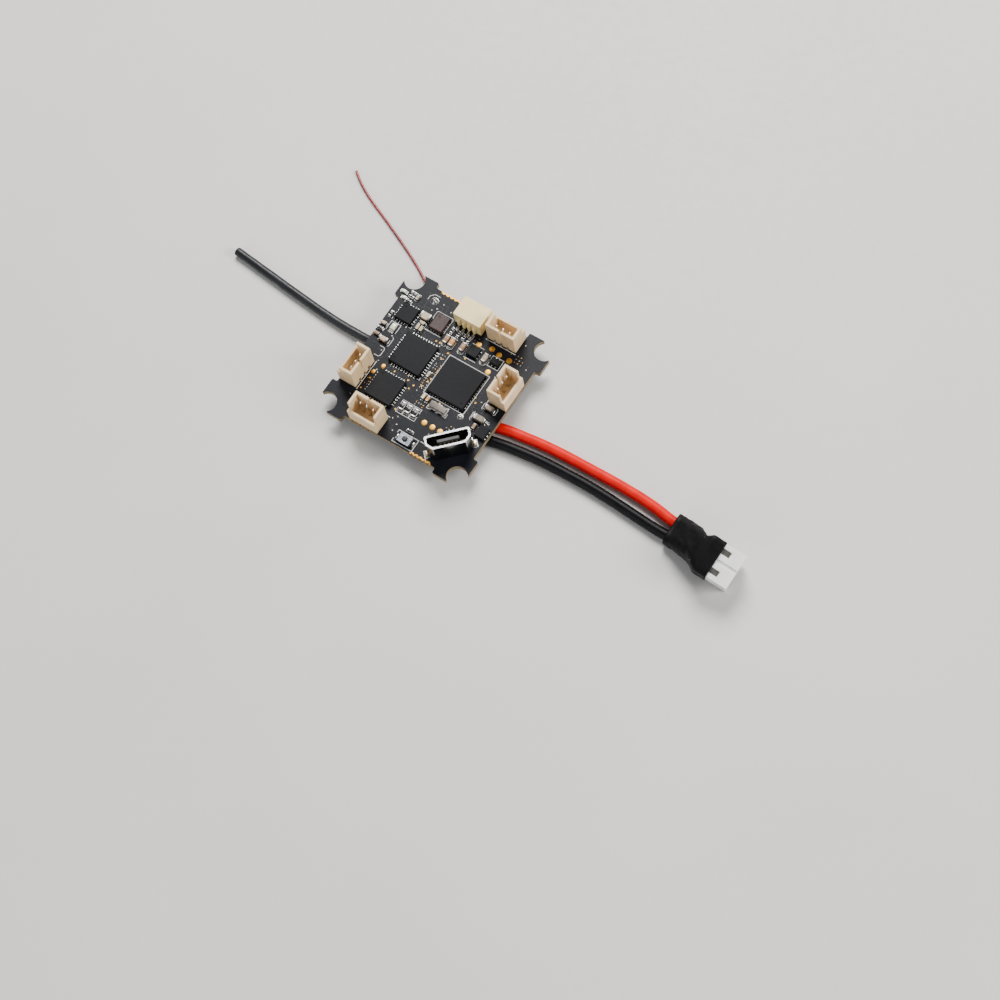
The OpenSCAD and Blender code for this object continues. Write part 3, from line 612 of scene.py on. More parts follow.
def plug_sleeve():
    """Heat-shrink tube over the leads' ends and the back of the plug."""
    back, front = cad("plug_sleeve").lo.x, -0.05

    def section(place, width, height, power, dent=0.0):
        """A rounded loop across X, dented between the leads."""
        points = []
        for p in circle(96, 0.5):
            r = (abs(p.x) ** power + abs(p.y) ** power) ** (-1 / power)
            fold = 1 - dent * max(0.0, 1 - (p.x * 2.2) ** 2) * (1 if p.y > 0 else 0.4)
            points.append(place @ Vector((0, width / 2 * r * p.x, height / 2 * r * p.y * fold)))
        return points

    # Round the leads: place, width, height, roundness, dent, and how much the tube wrinkles
    stations = [(section(Matrix.Translation(at), *size), wrinkle) for at, *size, wrinkle in (
        ((back - 0.02, -2.2, 1.3), 4.9, 2.1, 3.0, 0.10, 0.2),
        ((back - 0.2, -2.2, 1.28), 5.3, 2.4, 3.2, 0.12, 0.3),
        ((back - 0.19, -2.2, 1.3), 5.55, 2.58, 3.2, 0.12, 0.3),
        ((back + 0.4, -2.25, 1.4), 5.65, 2.7, 3.0, 0.12, 0.7),
        ((back + 1.8, -2.5, 2.0), 5.7, 3.1, 2.6, 0.09, 1.0),
        ((back + 3.2, -2.85, 2.6), 5.7, 3.6, 2.8, 0.06, 1.0),
        ((back + 4.5, -3.15, 3.1), 5.6, 3.95, 3.1, 0.03, 0.8))]
    # Round the plug, then back inside the tube: place along the plug, and the same without dent
    stations += [(section(PLUG_AT @ Matrix.Translation((x, 0, 0)), *size), wrinkle)
                 for x, *size, wrinkle in (
        (-3.25, 5.3, 4.15, 5, 0.35), (-2.8, 5.8, 4.5, 7, 0.12), (-2.35, 6.4, 4.98, 10, 0.05),
        (-1.9, 6.5, 5.08, 11, 0.06), (-1.0, 6.42, 5.0, 11, 0.1),
        (front - 0.25, 6.44, 5.02, 11, 0.08), (front - 0.04, 6.42, 5.0, 11, 0.06),
        (front, 6.3, 4.9, 11, 0.0), (front, 6.06, 4.66, 11, 0.0),
        (front - 0.12, 5.96, 4.56, 14, 0.0), (-2.2, 5.94, 4.54, 14, 0.0),
        (-2.45, 5.3, 4.0, 11, 0.0))]
    rings = []
    for (near, loose), (far, taut) in zip(stations, stations[1:]):
        steps = max(1, round(max((q - p).length for p, q in zip(near, far)) / 0.2))
        for k in range(steps):
            rings.append(([p.lerp(q, k / steps) for p, q in zip(near, far)],
                          loose + (taut - loose) * k / steps))
    wrinkled = []
    for points, wrinkle in rings + stations[-1:]:
        mid = sum(points, Vector()) / len(points)
        row = []
        for p in points:
            ripple = 0.10 * noise.noise(p * 1.25) + 0.05 * noise.noise(p * 3.3)
            ripple += 0.05 * math.sin(2.6 * p.x + 1.9 * p.y) * noise.noise(p * 0.6)
            q = p.lerp(mid, wrinkle * max(0.0, ripple + 0.02) / 2.2)
            row.append(Vector((q.x, q.y, max(q.z, 0.01))))
        wrinkled.append(row)
    return Shape().rings(wrinkled, SHRINK).make("heat_shrink_sleeve", "heat_shrink",
                                                "plug_sleeve", sharp=80)


def battery_plug():
    """Two-pin plug housing with its windows, groove and mouth, and its pins."""
    roof, front = PLUG_H / 2, PLUG_L / 2
    shape = Shape()
    shape.take(rounded(cad_shells("battery_plug"), 0.09, 2), PLUG)
    for side in (-1, 1):
        # Spring tongue of the contact, seen down in its window, then a rib along the side
        y, wall = side * 1.7, side * PLUG_W / 2
        shape.box((2.7 - front, y - 0.46, roof - 0.38), (4.9 - front, y + 0.46, roof - 0.26),
                  TIN, place=PLUG_AT)
        shape.box((5.2 - front, wall - 0.1, -0.5), (front - 0.05, wall + 0.02 * side, 0.5), PLUG,
                  0.04, place=PLUG_AT)
    housing = shape.make("plug_housing", "plug_plastic", "battery_plug")

    pins, r, length = Shape(), 0.25, PLUG_L - 1.2
    for side in (-1, 1):
        lay = (PLUG_AT @ Matrix.Translation((-front, side * PLUG_PIN_GAP, 0))
               @ Matrix.Rotation(math.pi / 2, 4, "Y"))
        pins.lathe([(0, 0), (r, 0), (r, length - 0.35), (0.86 * r, length - 0.15),
                    (0.45 * r, length - 0.02), (0, length)], BRASS, 20, lay)
    return housing, pins.make("plug_contact_pins", "pin_metal", "plug_pins")


def cords():
    sleeve = plug_sleeve()
    housing, pins = battery_plug()

    def blunt(left):
        """A cut end whose edge is slightly rounded."""
        return math.sqrt(max(0.05, 1 - max(0.0, 1 - left / 0.28) ** 2 * 0.9))

    cord("red_battery_lead", RED_ROUTE, LEAD_D, RED, "red_silicone", "battery_lead_red")
    cord("black_battery_lead", BLACK_ROUTE, LEAD_D, BLACK, "black_silicone",
         "battery_lead_black")
    cord("video_antenna_sleeve", TUBE_ROUTE, TUBE_D, SLEEVE, "antenna_sleeve",
         "video_antenna", tip=blunt, lumps=0.06)
    cord("receiver_antenna_wire", WIRE_ROUTE, WIRE_D, ENAMEL, "red_insulation",
         "receiver_antenna", lumps=0.05, sides=14)


cords()


# ---- Board ----

EDGE = 13.3            # distance of a set-back edge from the middle
EAR = 8.9              # where a corner ear starts
NOTCH_AT, NOTCH_R = 12.75, 1.75
CONTACT_R, CONTACT_BORE = 0.28, 0.17


def contact_places():
    """Middle of each plated half hole, on its edge."""
    return [(spot.mid.x, math.copysign(EDGE, spot.lo.y)) for spot in solids("edge_contacts")]


def board_outline():
    half = cad("circuit_board").hi.x
    reach = math.sqrt(NOTCH_R ** 2 - (half - NOTCH_AT) ** 2)
    tip = math.degrees(math.atan2(half - NOTCH_AT, reach))
    blunt = 0.13
    outline = []
    for turn in (0, 90, 180, 270):
        spin = Matrix.Rotation(math.radians(turn), 2)
        # The contacts are on two sides; seen from the second, X runs the other way
        along = {0: 1, 180: -1}.get(turn, 0)
        side = [(-EAR, -EDGE, 0.35)]
        for x in sorted(along * x for x, y in contact_places() if along * y < 0):
            side += [(*p, 0) for p in arc((x, -EDGE), CONTACT_R, 180, 0, 10)]
        side += [(EAR, -EDGE, 0.35), (EAR, -half, 0.3), (NOTCH_AT - reach - blunt, -half, 0.03)]
        side += [(*p, 0) for p in arc((NOTCH_AT, -NOTCH_AT), NOTCH_R, 174 + tip, 96 - tip, 40)]
        side += [(half, -NOTCH_AT + reach + blunt, 0.03), (half, -EAR, 0.3)]
        outline += [(*(spin @ Vector(p[:2])), p[2]) for p in side]
    return soften(outline)


def laminate():
    shape = Shape()
    loop = board_outline()
    skin = 0.035
    shape.prism(loop, UNDER_Z + skin, TOP_Z - skin, FIBRE, top=(0, 0))
    inner = inset(loop, 0.01)
    shape.prism(inner, TOP_Z - skin - 0.005, TOP_Z, MASK, top=(0.03, 0.02))
    shape.prism(inner, UNDER_Z, UNDER_Z + skin + 0.005, MASK, top=(0, 0), foot=(0.03, 0.02))
    return shape.make("board_laminate", "solder_mask", "circuit_board", sharp=25)


def edge_plating():
    """Gold half barrels with a half ring on each face."""
    shape = Shape()
    for x, y in contact_places():
        turn = 0 if y < 0 else 180
        for low, high, r in ((UNDER_Z + 0.02, TOP_Z - 0.02, CONTACT_R - 0.005),
                             (TOP_Z - 0.02, TOP_Z + 0.025, 0.40),
                             (UNDER_Z - 0.025, UNDER_Z + 0.02, 0.40)):
            loop = arc((0, 0), r, 0, 180, 14) + arc((0, 0), CONTACT_BORE, 180, 0, 14)
            shape.prism(loop, low, high, GOLD, top=(0, 0), place=move(x, y, 0, turn))
    return shape.make("edge_plating", "gold_plating", "edge_contacts")


laminate()
edge_plating()


# ---- Chips ----

def set_out(name, slot, node, build, turned=None, at=None, body=BOARD):
    """One piece of the parts that build(spot) makes, one at each solid of a node.

    turned(spot) is a part's turn in degrees; at is another node that gives the places.
    """
    shape = Shape()
    for spot in solids(at or node):
        shape.add(build(spot), spot.ground(turned(spot) if turned else 0))
    return shape.make(name, slot, node, body=body)


def away_from(x):
    """Turns a part's +X side away from the line at x."""
    return lambda spot: 0 if spot.mid.x > x else 180


def moulded(shape, x, y, z0, z1, mat, draft=0.05, rim=0.06, dimple=None):
    """A moulded package: sloping sides, soft edges, and a round dimple (x, y, r) in its top."""
    split = z0 + 0.35 * (z1 - z0)
    levels = ((0.6 * draft, z0), (0, split), (draft, z1 - rim), (draft + rim, z1))
    rings = [at_height(rectangle(x - d, y - d, 0.07), z) for d, z in levels]
    if not dimple:
        return shape.rings(rings, mat)
    at, r = Vector(dimple[:2]), dimple[2]
    bowl = [at_height([at + p * r * share for p in circle(24)], z1 - depth)
            for share, depth in ((1, 0), (0.86, 0.03), (0.5, 0.045))]
    part = bmesh.new()
    groups = [[[part.verts.new(p) for p in ring] for ring in stack] for stack in (rings, bowl)]
    for rows in groups:
        for low, high in zip(rows, rows[1:]):
            for i in range(len(low)):
                part.faces.new((low[i - 1], low[i], high[i], high[i - 1]))
    part.faces.new(groups[0][0])
    part.faces.new(groups[1][-1])
    flat = groups[0][-1] + groups[1][0]
    for corners in tessellate_polygon([rings[-1], bowl[0]]):
        part.faces.new([flat[k] for k in corners])
    return shape.take(part, mat)


def leadless(spot, count, pitch, reach, width=0.24, mat=EPOXY, sides=(0, 90, 180, 270)):
    """A leadless chip: body, and on each side its pads with their solder."""
    shape = Shape()
    x, y = spot.half.xy
    moulded(shape, x, y, 0.05, spot.tall(), mat, dimple=(0.75 - x, y - 0.75,
                                                        min(0.24, 0.14 * x)))
    for turn in sides:
        for k in range(count):
            place = move(turn=turn) @ move(x if turn in (0, 180) else y,
                                           (k - (count - 1) / 2) * pitch)
            shape.bar(-0.35, reach, width, 0, 0.04, SOLDER, 0.012, place=place)
            shape.foot(0.8 * width, 0.7 * reach, 0.16, place @ move(z=0.03))
            shape.bar(-0.2, 0.012, 0.8 * width, 0.04, 0.22, TERMINAL, 0, place=place)
    return shape


def chip(name, slot, node, count, pitch, reach, turn=0, **facts):
    set_out(name, slot, node, lambda spot: leadless(spot, count, pitch, reach, **facts),
            lambda spot: turn)


chip("processor", "chip_epoxy", "main_processor", 12, 0.5, 0.16, turn=180)
chip("video_transmitter_chip", "chip_epoxy", "video_transmitter", 10, 0.5, 0.42, turn=90)
chip("display_overlay_chip", "chip_epoxy", "display_chip", 8, 0.5, 0.36)
chip("voltage_converter", "chip_epoxy", "converter_chip", 5, 0.5, 0.3)
chip("motion_sensor_package", "sensor_epoxy", "motion_sensor", 4, 0.5, 0.14, mat=SENSOR,
     width=0.26)
chip("regulator_package", "chip_epoxy", "voltage_regulator", 2, 0.65, 0.28, sides=(90, 270),
     width=0.28)
chip("switch_package", "chip_epoxy", "load_switch", 3, 0.65, 0.14, sides=(0, 180), width=0.3)
chip("pass_transistor_package", "chip_epoxy", "pass_transistor", 3, 0.65, 0.16,
     sides=(0, 180), width=0.3)


# ---- Two-ended parts ----

def ceramic(l, w, h, body):
    """A chip capacitor: block, wrapped ends, solder at each end."""
    shape = Shape()
    shape.bar(-0.395 * l, 0.395 * l, w - 0.04, 0.04, h - 0.02, body, 0.04, 2)
    for side in ENDS:
        shape.bar(0.29 * l, l / 2, w, 0.03, h, TIN, 0.07, 2, side)
        shape.joint(side, (0.29 * l, l / 2 + 0.17, w + 0.06),
                    (l / 2, 0.9 * w, 0.85 * 0.17, 0.6 * h))
    return shape


def resistor(l, w, h):
    shape = Shape()
    shape.bar(0.02 - l / 2, l / 2 - 0.02, w, 0.03, h - 0.04, ALUMINA, 0.02)
    shape.bar(-0.3 * l, 0.3 * l, w - 0.02, h - 0.08, h, GLAZE, 0.03, 2)
    for side in ENDS:
        shape.bar(0.3 * l, l / 2, w + 0.02, 0.02, h - 0.01, SOLDER, 0.04, 2, side)
        shape.joint(side, (0.3 * l, l / 2 + 0.16, w + 0.06), (l / 2, 0.9 * w, 0.13, 0.6 * h))
    return shape


def lamp(l, w, h):
    shape = Shape()
    shape.bar(-l / 2, l / 2, w, 0.02, 0.4 * h, ALUMINA, 0.02)
    shape.bar(-0.33 * l, 0.33 * l, w - 0.04, 0.3 * h, h, LENS, 0.06, 2)
    shape.lathe([(0, h - 0.05), (0.22 * w, h - 0.05), (0.2 * w, h + 0.004), (0, h + 0.004)],
                PHOSPHOR, 16)
    for side in ENDS:
        shape.bar(0.36 * l, l / 2 + 0.01, w + 0.02, 0.01, 0.45 * h, TIN, 0.03, place=side)
        shape.joint(side, (0.36 * l, l / 2 + 0.2, w + 0.06), (l / 2, 0.85 * w, 0.17, 0.4 * h),
                    r=0.012)
    return shape


def two_ended(name, slot, node, kind, *tones):
    """Small parts along their solids' longer sides; the tones take turns."""
    bodies = itertools.cycle([(CERAMICS[tone],) for tone in tones] or [()])

    def build(spot):
        return kind(max(spot.size.xy), min(spot.size.xy), spot.tall(), *next(bodies))

    set_out(name, slot, node, build, lambda spot: 90 if spot.size.y > spot.size.x else 0)


two_ended("large_ceramic", "ceramic_tan", "large_capacitor", ceramic, "beige")
two_ended("medium_ceramics", "ceramic_brown", "medium_capacitors", ceramic,
          "beige", "brown", "orange", "brown", "stone", "stone")
two_ended("small_ceramics", "ceramic_tan", "small_capacitors", ceramic, "brown", "beige",
          "stone", "beige", "beige", "beige", "stone", "straw", "orange", "brown")
two_ended("chip_resistors", "resistor_black", "resistors", resistor)
two_ended("status_lamp", "led_lens", "status_led", lamp)
two_ended("receiver_lamps", "led_lens", "receiver_leds", lamp)


def resonator(spot):
    """Ceramic tray with a metal lid and three terminals under each long side."""
    x, y = spot.half.xy
    part = Shape()
    part.prism(rectangle(x, y, 0.12), 0.02, 0.45, ALUMINA, top=(0, 0))
    part.prism(rectangle(x - 0.06, y - 0.06, 0.15), 0.4, spot.tall(), LID, top=(0.1, 0.07))
    for at in (-1.25, 0.0, 1.25):
        part.box((at - 0.22, -y - 0.015, 0.0), (at + 0.22, y + 0.015, 0.42), TIN, 0.02)
        for turn, edge in ((90, y), (270, -y)):
            part.joint(move(at, edge, 0, turn), (-0.1, 0.25, 0.52), (0, 0.42, 0.2, 0.3), r=0.012)
    return part


def diode(spot):
    x, width, h = spot.half.x, spot.size.y, spot.tall()
    part = Shape()
    moulded(part, x - 0.25, width / 2, 0.04, h, DIODE, draft=0.06)
    part.bar(0.42 - x, 0.62 - x, width - 0.2, h - 0.03, h + 0.006, INK, 0.01)
    for side in ENDS:
        part.bar(x - 0.45, x - 0.06, 0.72 * width, 0.02, 0.55, TERMINAL, 0.05, 2, side)
        part.joint(side, (x - 0.4, x + 0.2, 0.84 * width), (x - 0.08, 0.72 * width, 0.24, 0.5),
                   0.04)
    return part


set_out("ceramic_resonator", "resonator_lid", "resonator", resonator)
set_out("diode_package", "diode_case", "power_diode", diode)


# ---- Pads, tracks, vias and print ----

def test_pad(spot):
    r = spot.half.x
    return Shape().lathe([(0, -0.01), (r, -0.01), (r, 0.02), (r - 0.03, 0.035),
                          (0.6 * r, 0.05), (0, 0.055)], GOLD, 36)


# Thin or flexible nodes, which leave the places round them free for vias
OPEN_NODES = (
    "circuit_board", "edge_contacts", "camera_socket_tabs", "button_terminals",
    "inductor_terminals", "bulk_capacitor_terminals", "battery_lead_red", "battery_lead_black",
    "video_antenna", "receiver_antenna",
)
VIA_TO_EDGE, VIA_TO_NOTCH, VIA_TO_VIA = 0.7, 2.4, 0.52    # least distances


class Free:
    """Says whether a place on one face is clear of parts, of the edges and of earlier vias."""

    def __init__(self, face):
        self.spots = [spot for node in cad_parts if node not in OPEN_NODES
                      for spot in solids(node) if spot.upper == (face > 0)]
        self.taken = [Vector(p) for p in contact_places()]

    def clear(self, p, margin=0.42):
        if max(abs(p.x), abs(p.y)) > EDGE - VIA_TO_EDGE:
            return False
        if max(abs(abs(p.x) - NOTCH_AT), abs(abs(p.y) - NOTCH_AT)) < VIA_TO_NOTCH:
            return False
        if any(all(spot.lo[k] - margin < p[k] < spot.hi[k] + margin for k in (0, 1))
               for spot in self.spots):
            return False
        return all((p - q).length > VIA_TO_VIA for q in self.taken)


def via(shape, p, face, mat=TRACK, r=0.16):
    """A plated hole; one under the solder mask is a small dimpled ring."""
    shape.lathe([(0, -0.01), (r, -0.01), (0.9 * r, 0.024), (0.6 * r, 0.026), (0.4 * r, 0.012),
                 (0, 0.008)], mat, 12, on_face(p.x, p.y, face))


def copper(name, face, seed, *fans):
    """Tracks that fan out from pads to vias, and stitching vias in the open areas.

    fans is (node, pads on a side, pitch, distance of the pads' ends from the body).
    """
    rng = random.Random(seed)
    free = Free(face)
    shape = Shape()
    ground = TOP_Z if face > 0 else UNDER_Z
    low, high = ground - 0.01 * face, ground + 0.02 * face
    for node, count, pitch, reach in fans:
        for spot in solids(node):
            for turn in (0, 90, 180, 270):
                out = Matrix.Rotation(math.radians(turn), 2) @ Vector((1, 0))
                along = Vector((-out.y, out.x))
                half = spot.half.x if turn in (0, 180) else spot.half.y
                for k in range(count):
                    slide = (k - (count - 1) / 2) * pitch
                    start = spot.mid.xy + out * (half + reach) + along * slide
                    lean = 1 if slide > 0 else -1
                    for straight, slant in [(rng.uniform(0.1, 0.5), rng.uniform(0.15, 1.3))
                                            for _ in range(4)]:
                        knee = start + out * straight
                        end = knee + (out + along * lean) * slant * 0.7
                        if free.clear(end, 0.3):
                            shape.strip([start - out * 0.1, knee, end], 0.13, low, high, TRACK)
                            via(shape, end, face, rng.choice((TRACK, TRACK, TRACK, GOLD)))
                            free.taken.append(end)
                            break
    for _ in range(600):
        p = Vector((0.6 * rng.randint(-20, 20), 0.6 * rng.randint(-20, 20)))
        if not free.clear(p):
            continue
        free.taken.append(p)
        via(shape, p, face, rng.choice((TRACK, TRACK, TRACK, TIN)), 0.12)
        run_on = p + Vector((rng.choice((-1, 1)), rng.choice((-1, 0, 1)))) * rng.uniform(0.6, 1.8)
        if rng.random() < 0.45 and free.clear(run_on, 0.25):
            bend = Vector((run_on.x, p.y))
            turns = min((bend - p).length, (bend - run_on).length) > 0.2
            shape.strip([p, bend, run_on] if turns else [p, run_on], 0.15, low, high, TRACK)
            via(shape, run_on, face)
            free.taken.append(run_on)
    return shape.make(name, "solder_mask")


def cup(x, y, width, length):
    """A printed U round one end of a small part, open towards +Y."""
    loop = [(-width, -length * 0.35), (-width, length - 0.25), (-width + 0.25, length),
            (width - 0.25, length), (width, length - 0.25), (width, -length * 0.35)]
    return [(x - across, y - along) for across, along in loop]


def board_print():
    """White printed lines on the upper face, with all lettering left out."""
    shape = Shape()
    low, high = TOP_Z - 0.01, TOP_Z + 0.03

    def line(points, width=0.1, closed=False):
        shape.strip(points, width, low, high, INK, closed)

    processor = cad("main_processor")
    line([processor.mid.xy + p for p in rectangle(*(processor.half.xy + Vector((0.36, 0.36))), 0)],
         0.12, True)
    # Bracket and stroke by the motion sensor, box round the boot button and its stroke
    line([(-6.25, 8.3), (-6.25, 9.75), (-6.05, 9.95), (-3.3, 9.95), (-3.1, 9.75),
          (-3.1, 7.0)])
    line([(-6.3, 6.17), (-3.25, 6.17)], 0.17)
    line([(0.3, -12.4), (0.3, -12.95), (4.1, -12.95), (4.1, -10.8), (0.3, -10.8),
          (0.3, -11.3)], 0.12)
    line([(4.4, -10.75), (7.0, -10.75)], 0.12)
    # Outlines of small parts
    line([(-11.8, 2.9), (-11.8, 4.65), (-9.95, 4.65), (-9.95, 2.9)])
    line([(-10.9, -0.05), (-10.1, -0.05), (-9.85, -0.3), (-9.85, -1.5), (-10.1, -1.8),
          (-10.9, -1.8)])
    line([(6.05, 5.9), (8.1, 5.9), (8.1, 7.85), (6.05, 7.85)], closed=True)
    for y in (5.25, 8.0):
        line([(1.95, y), (4.2, y)])
    line([(-12.0, 4.95), (-12.0, 5.3)])
    line([(-8.9, 10.9), (-8.9, 11.6), (-8.3, 12.2), (-7.2, 12.2)])
    for x, y, width, length in ((-2.0, 6.25, 0.52, 1.15), (-0.95, 6.25, 0.52, 1.15),
                                (1.05, 6.4, 0.52, 1.15), (5.25, 6.6, 0.55, 1.12)):
        line(cup(x, y, width, length), 0.09)
    for x in (-1.55, -0.3, 0.95):
        for near, far in ((-7.5, -8.4), (-6.9, -6.1)):
            line([(x - 0.56, near), (x - 0.56, far), (x + 0.56, far), (x + 0.56, near)], 0.09)
    # Brackets: side, depth of the ends, and the two ends
    for x, depth, low_y, high_y in ((-9.65, -0.25, 0.35, 2.25), (9.55, 0.2, -1.0, 0.35),
                                    (12.05, -0.2, -1.0, 0.35), (8.85, 0.25, -3.55, -1.9)):
        line([(x + depth, low_y), (x, low_y + 0.25), (x, high_y - 0.25), (x + depth, high_y)])
    # Corner marks: corner, then the arm along X and the arm along Y
    for x, y, across, along in ((5.5, -5.35, -0.35, 0.75), (1.85, -5.35, 0.4, 0.75),
                                (-8.3, 5.0, -0.45, 0.4), (-1.9, -1.95, -0.45, 0.45)):
        line([(x + across, y), (x, y), (x, y + along)])
    for k in range(4):
        x = cad("camera_socket").lo.x + 0.35 + 1.02 * k
        line([(x, 8.35), (x, 8.95)])
    for i in range(1, 5):
        # A line along the inner side of each motor socket
        spot = cad(f"motor_socket_{i}")
        reach = spot.half + Vector((0.15, 0.15, 0))
        if abs(spot.mid.x) > abs(spot.mid.y):
            inner = spot.mid.x - math.copysign(spot.half.x + 0.28, spot.mid.x)
            line([(inner, spot.mid.y + s * reach.y) for s in (-1, 1)], 0.13)
        else:
            inner = spot.mid.y - math.copysign(spot.half.y + 0.28, spot.mid.y)
            line([(spot.mid.x + s * reach.x, inner) for s in (-1, 1)], 0.13)
    for x, y in ((-6.55, 10.2), (-8.9, -3.9), (-9.1, 4.85)):
        shape.lathe([(0, -0.01), (0.14, -0.01), (0.12, 0.03), (0, 0.03)], INK, 16,
                    move(x, y, TOP_Z))
    return shape.make("board_print", "solder_mask")


def bare_vias():
    """Small bright vias set out in rows between the chips."""
    rng = random.Random(5)
    shape = Shape()
    # (first x, first y, columns, rows, step)
    fields = ((-1.15, -2.9, 3, 12, 0.44), (-0.1, -5.75, 4, 2, 0.45), (-9.3, -6.8, 3, 3, 0.5),
              (-8.6, -3.35, 10, 1, 0.5), (1.4, 8.6, 4, 2, 0.55), (9.6, 8.6, 3, 3, 0.6),
              (-1.6, 3.2, 3, 2, 0.5), (6.6, -6.6, 3, 2, 0.55))
    for x, y, columns, rows, step in fields:
        for i in range(columns):
            for j in range(rows):
                if rng.random() < 0.75:
                    spot = Vector((x + i * step, y + j * step))
                    via(shape, spot, 1, rng.choice((TIN, GOLD, TIN)), rng.uniform(0.08, 0.11))
    return shape.make("bare_vias", "gold_plating")


set_out("gold_test_pads", "gold_plating", "test_pads", test_pad)
copper("upper_tracks_and_vias", 1, 11, ("main_processor", 12, 0.5, 0.16),
       ("video_transmitter", 10, 0.5, 0.42), ("display_chip", 8, 0.5, 0.36),
       ("converter_chip", 5, 0.5, 0.3))
copper("lower_tracks_and_vias", -1, 23, ("motor_controllers", 5, 0.5, 0.3),
       ("receiver_chip", 6, 0.5, 0.3), ("transmitter_amplifier", 4, 0.6, 0.3),
       ("power_transistors", 3, 0.8, 0.3))
board_print()
bare_vias()


# ---- Motor sockets ----

def motor_sockets():
    pin, pin_y, pin_h, pitch = 0.2, 0.45, 3.9, 1.25
    tail, half_l, half_d = 1.75, 2.725, 1.6
    contact = Shape()
    contact.rings([at_height(rectangle(pin - d, pin - d, 0.05, 2), z)
                   for d, z in ((0, 0), (0, pin_h - 0.3), (0.12, pin_h - 0.01), (0.14, pin_h))],
                  PIN, place=move(0, pin_y))
    contact.box((-0.17, pin_y, 0.0), (0.17, tail, 0.22), TERMINAL, 0.04, 2)
    contact.box((-0.2, half_d - 0.2, -0.01), (0.2, tail + 0.12, 0.03), SOLDER, 0.012)
    contact.foot(0.34, 0.1, 0.18, move(0, tail - 0.02, 0.02, 90))
    pins = Shape()
    for i in range(1, 5):
        node = f"motor_socket_{i}"
        spot = cad(node)
        # The tall wall stands towards +Y of the socket's own frame, and faces the middle
        if abs(spot.mid.x) > abs(spot.mid.y):
            place = spot.ground(90 if spot.mid.x > 0 else 270)
        else:
            place = spot.ground(180 if spot.mid.y > 0 else 0)
        shape = Shape()
        shape.take(rounded(cad_shells(node), 0.06, 2), SOCKET)
        for s in (-1, 1):
            x, end = s * 1.55, s * (half_l - 0.5)
            shape.box((x - 0.14, -half_d + 0.4, 0.55), (x + 0.14, -half_d + 0.52, 2.55), SOCKET,
                      place=place)
            shape.box((end - 0.08, 0.35, 0.58), (end + 0.08, 0.75, 3.9), SOCKET, 0.04,
                      place=place)
        shape.make(node + "_housing", "socket_plastic", node)
        for k in (-1, 0, 1):
            pins.add(contact, place @ move(k * pitch))
    pins.make("motor_socket_pins", "pin_metal", "motor_pins")


# ---- Camera socket ----

def camera_tab(spot):
    part = Shape()
    part.bar(-spot.half.x, spot.half.x, spot.size.y, 0, spot.tall(), TERMINAL, 0.05, 2)
    return part.joint(move(spot.half.x), (-0.15, 0.4, 1.7), (-0.01, 1.4, 0.32, 0.55), 0.04)


def camera_socket():
    spot, back = cad("camera_socket"), cad("camera_contacts").lo.y
    shape = Shape()
    shape.take(rounded(cad_shells("camera_socket"), 0.06, 2), CREAM)
    shape.make("camera_socket_housing", "camera_plastic", "camera_socket")

    contact = Shape()
    for half, start, end, low, high, mat, *round_edge in (
            (0.13, 0, 1.5, 0, 0.22, TERMINAL, 0.05, 2), (0.12, 1.3, 1.5, 0.05, 1.0, BRASS, 0.04),
            (0.12, 1.3, 3.65, 0.75, 0.97, BRASS, 0.07, 2),
            (0.26, -0.28, 0.42, -0.01, 0.035, SOLDER, 0.012)):
        contact.box((-half, start, low), (half, end, high), mat, *round_edge)
    contact.foot(0.4, 0.24, 0.18, move(0, 0.04, 0.02, 270))
    contacts = Shape()
    for k in range(4):
        contacts.add(contact, move(spot.mid.x + k - 1.5, back, TOP_Z))
    contacts.make("camera_socket_contacts", "pin_metal", "camera_contacts")
    set_out("camera_socket_anchors", "tinned_metal", "camera_socket_tabs", camera_tab,
            away_from(spot.mid.x))


# ---- USB socket ----

USB_W, USB_D, USB_WALL = 3.65, 1.225, 0.25    # half width, half depth, sheet and its gap


def usb_outline(gap):
    a, b, c = USB_W - gap, USB_D - gap, 0.95 - 0.4 * gap
    return soften([(-a, b, 0.3), (-a, -b + c, 0.25), (-a + c, -b, 0.25), (a - c, -b, 0.25),
                   (a, -b + c, 0.25), (a, b, 0.3)], 4)[::-1]


def usb_shell(spot):
    """Steel shell with its legs and hold-down springs."""
    height, shell = spot.tall(), Shape()
    shell.wall(usb_outline(0), usb_outline(USB_WALL), 0.02, height - 0.07, SHELL, 0.02)
    # Bright band round the top of the shell: painted highlight, a lit copy of the shell steel.
    shell.wall(usb_outline(0.005), usb_outline(USB_WALL - 0.005), height - 0.09, height, LIT_RIM_STEEL,
               0.04)
    bow = [(0, -0.25), (0.2, -0.35), (0.5, -0.5), (0.54, -0.62), (0.46, -0.8), (0.1, -1.5),
           (0, -1.6)]
    sheet = bow + [(y - 0.08, z) for y, z in reversed(bow[1:-1])]
    for s in (-1, 1):
        side = move(s * USB_W, 0.2, 0, 0 if s > 0 else 180)
        shell.bar(-0.12, 0.1, 1.0, 0.05, 1.5, SHELL, 0.05, 2, side)
        shell.bar(-0.05, 0.52, 1.0, 0.02, 0.26, BRASS, 0.06, 2, side)
        shell.joint(side, (-0.2, 0.75, 1.4), (0.08, 0.95, 0.5, 0.75), 0.045, z=0.04)
        shell.rings([[Vector((x, y - 0.02, height + z)) for y, z in sheet]
                     for x in (-0.28, 0.28)], TERMINAL,
                    place=move(s * 2.25, USB_WALL - USB_D))
    # Seam of the folded sheet
    return shell.box((-0.02, -USB_D - 0.004, 0.15), (0.02, 0.05 - USB_D, height - 0.3), MOULDED,
                     0)


def usb_tongue(spot):
    inner = Shape()
    inner.prism(usb_outline(USB_WALL + 0.01), 0.02, 1.0, MOULDED, top=(0.05, 0.05))
    return inner.prism(rectangle(1.85, 0.325, 0.16), 0.9, 4.0, TONGUE, top=(0.1, 0.25),
                       place=move(0, 0.2))


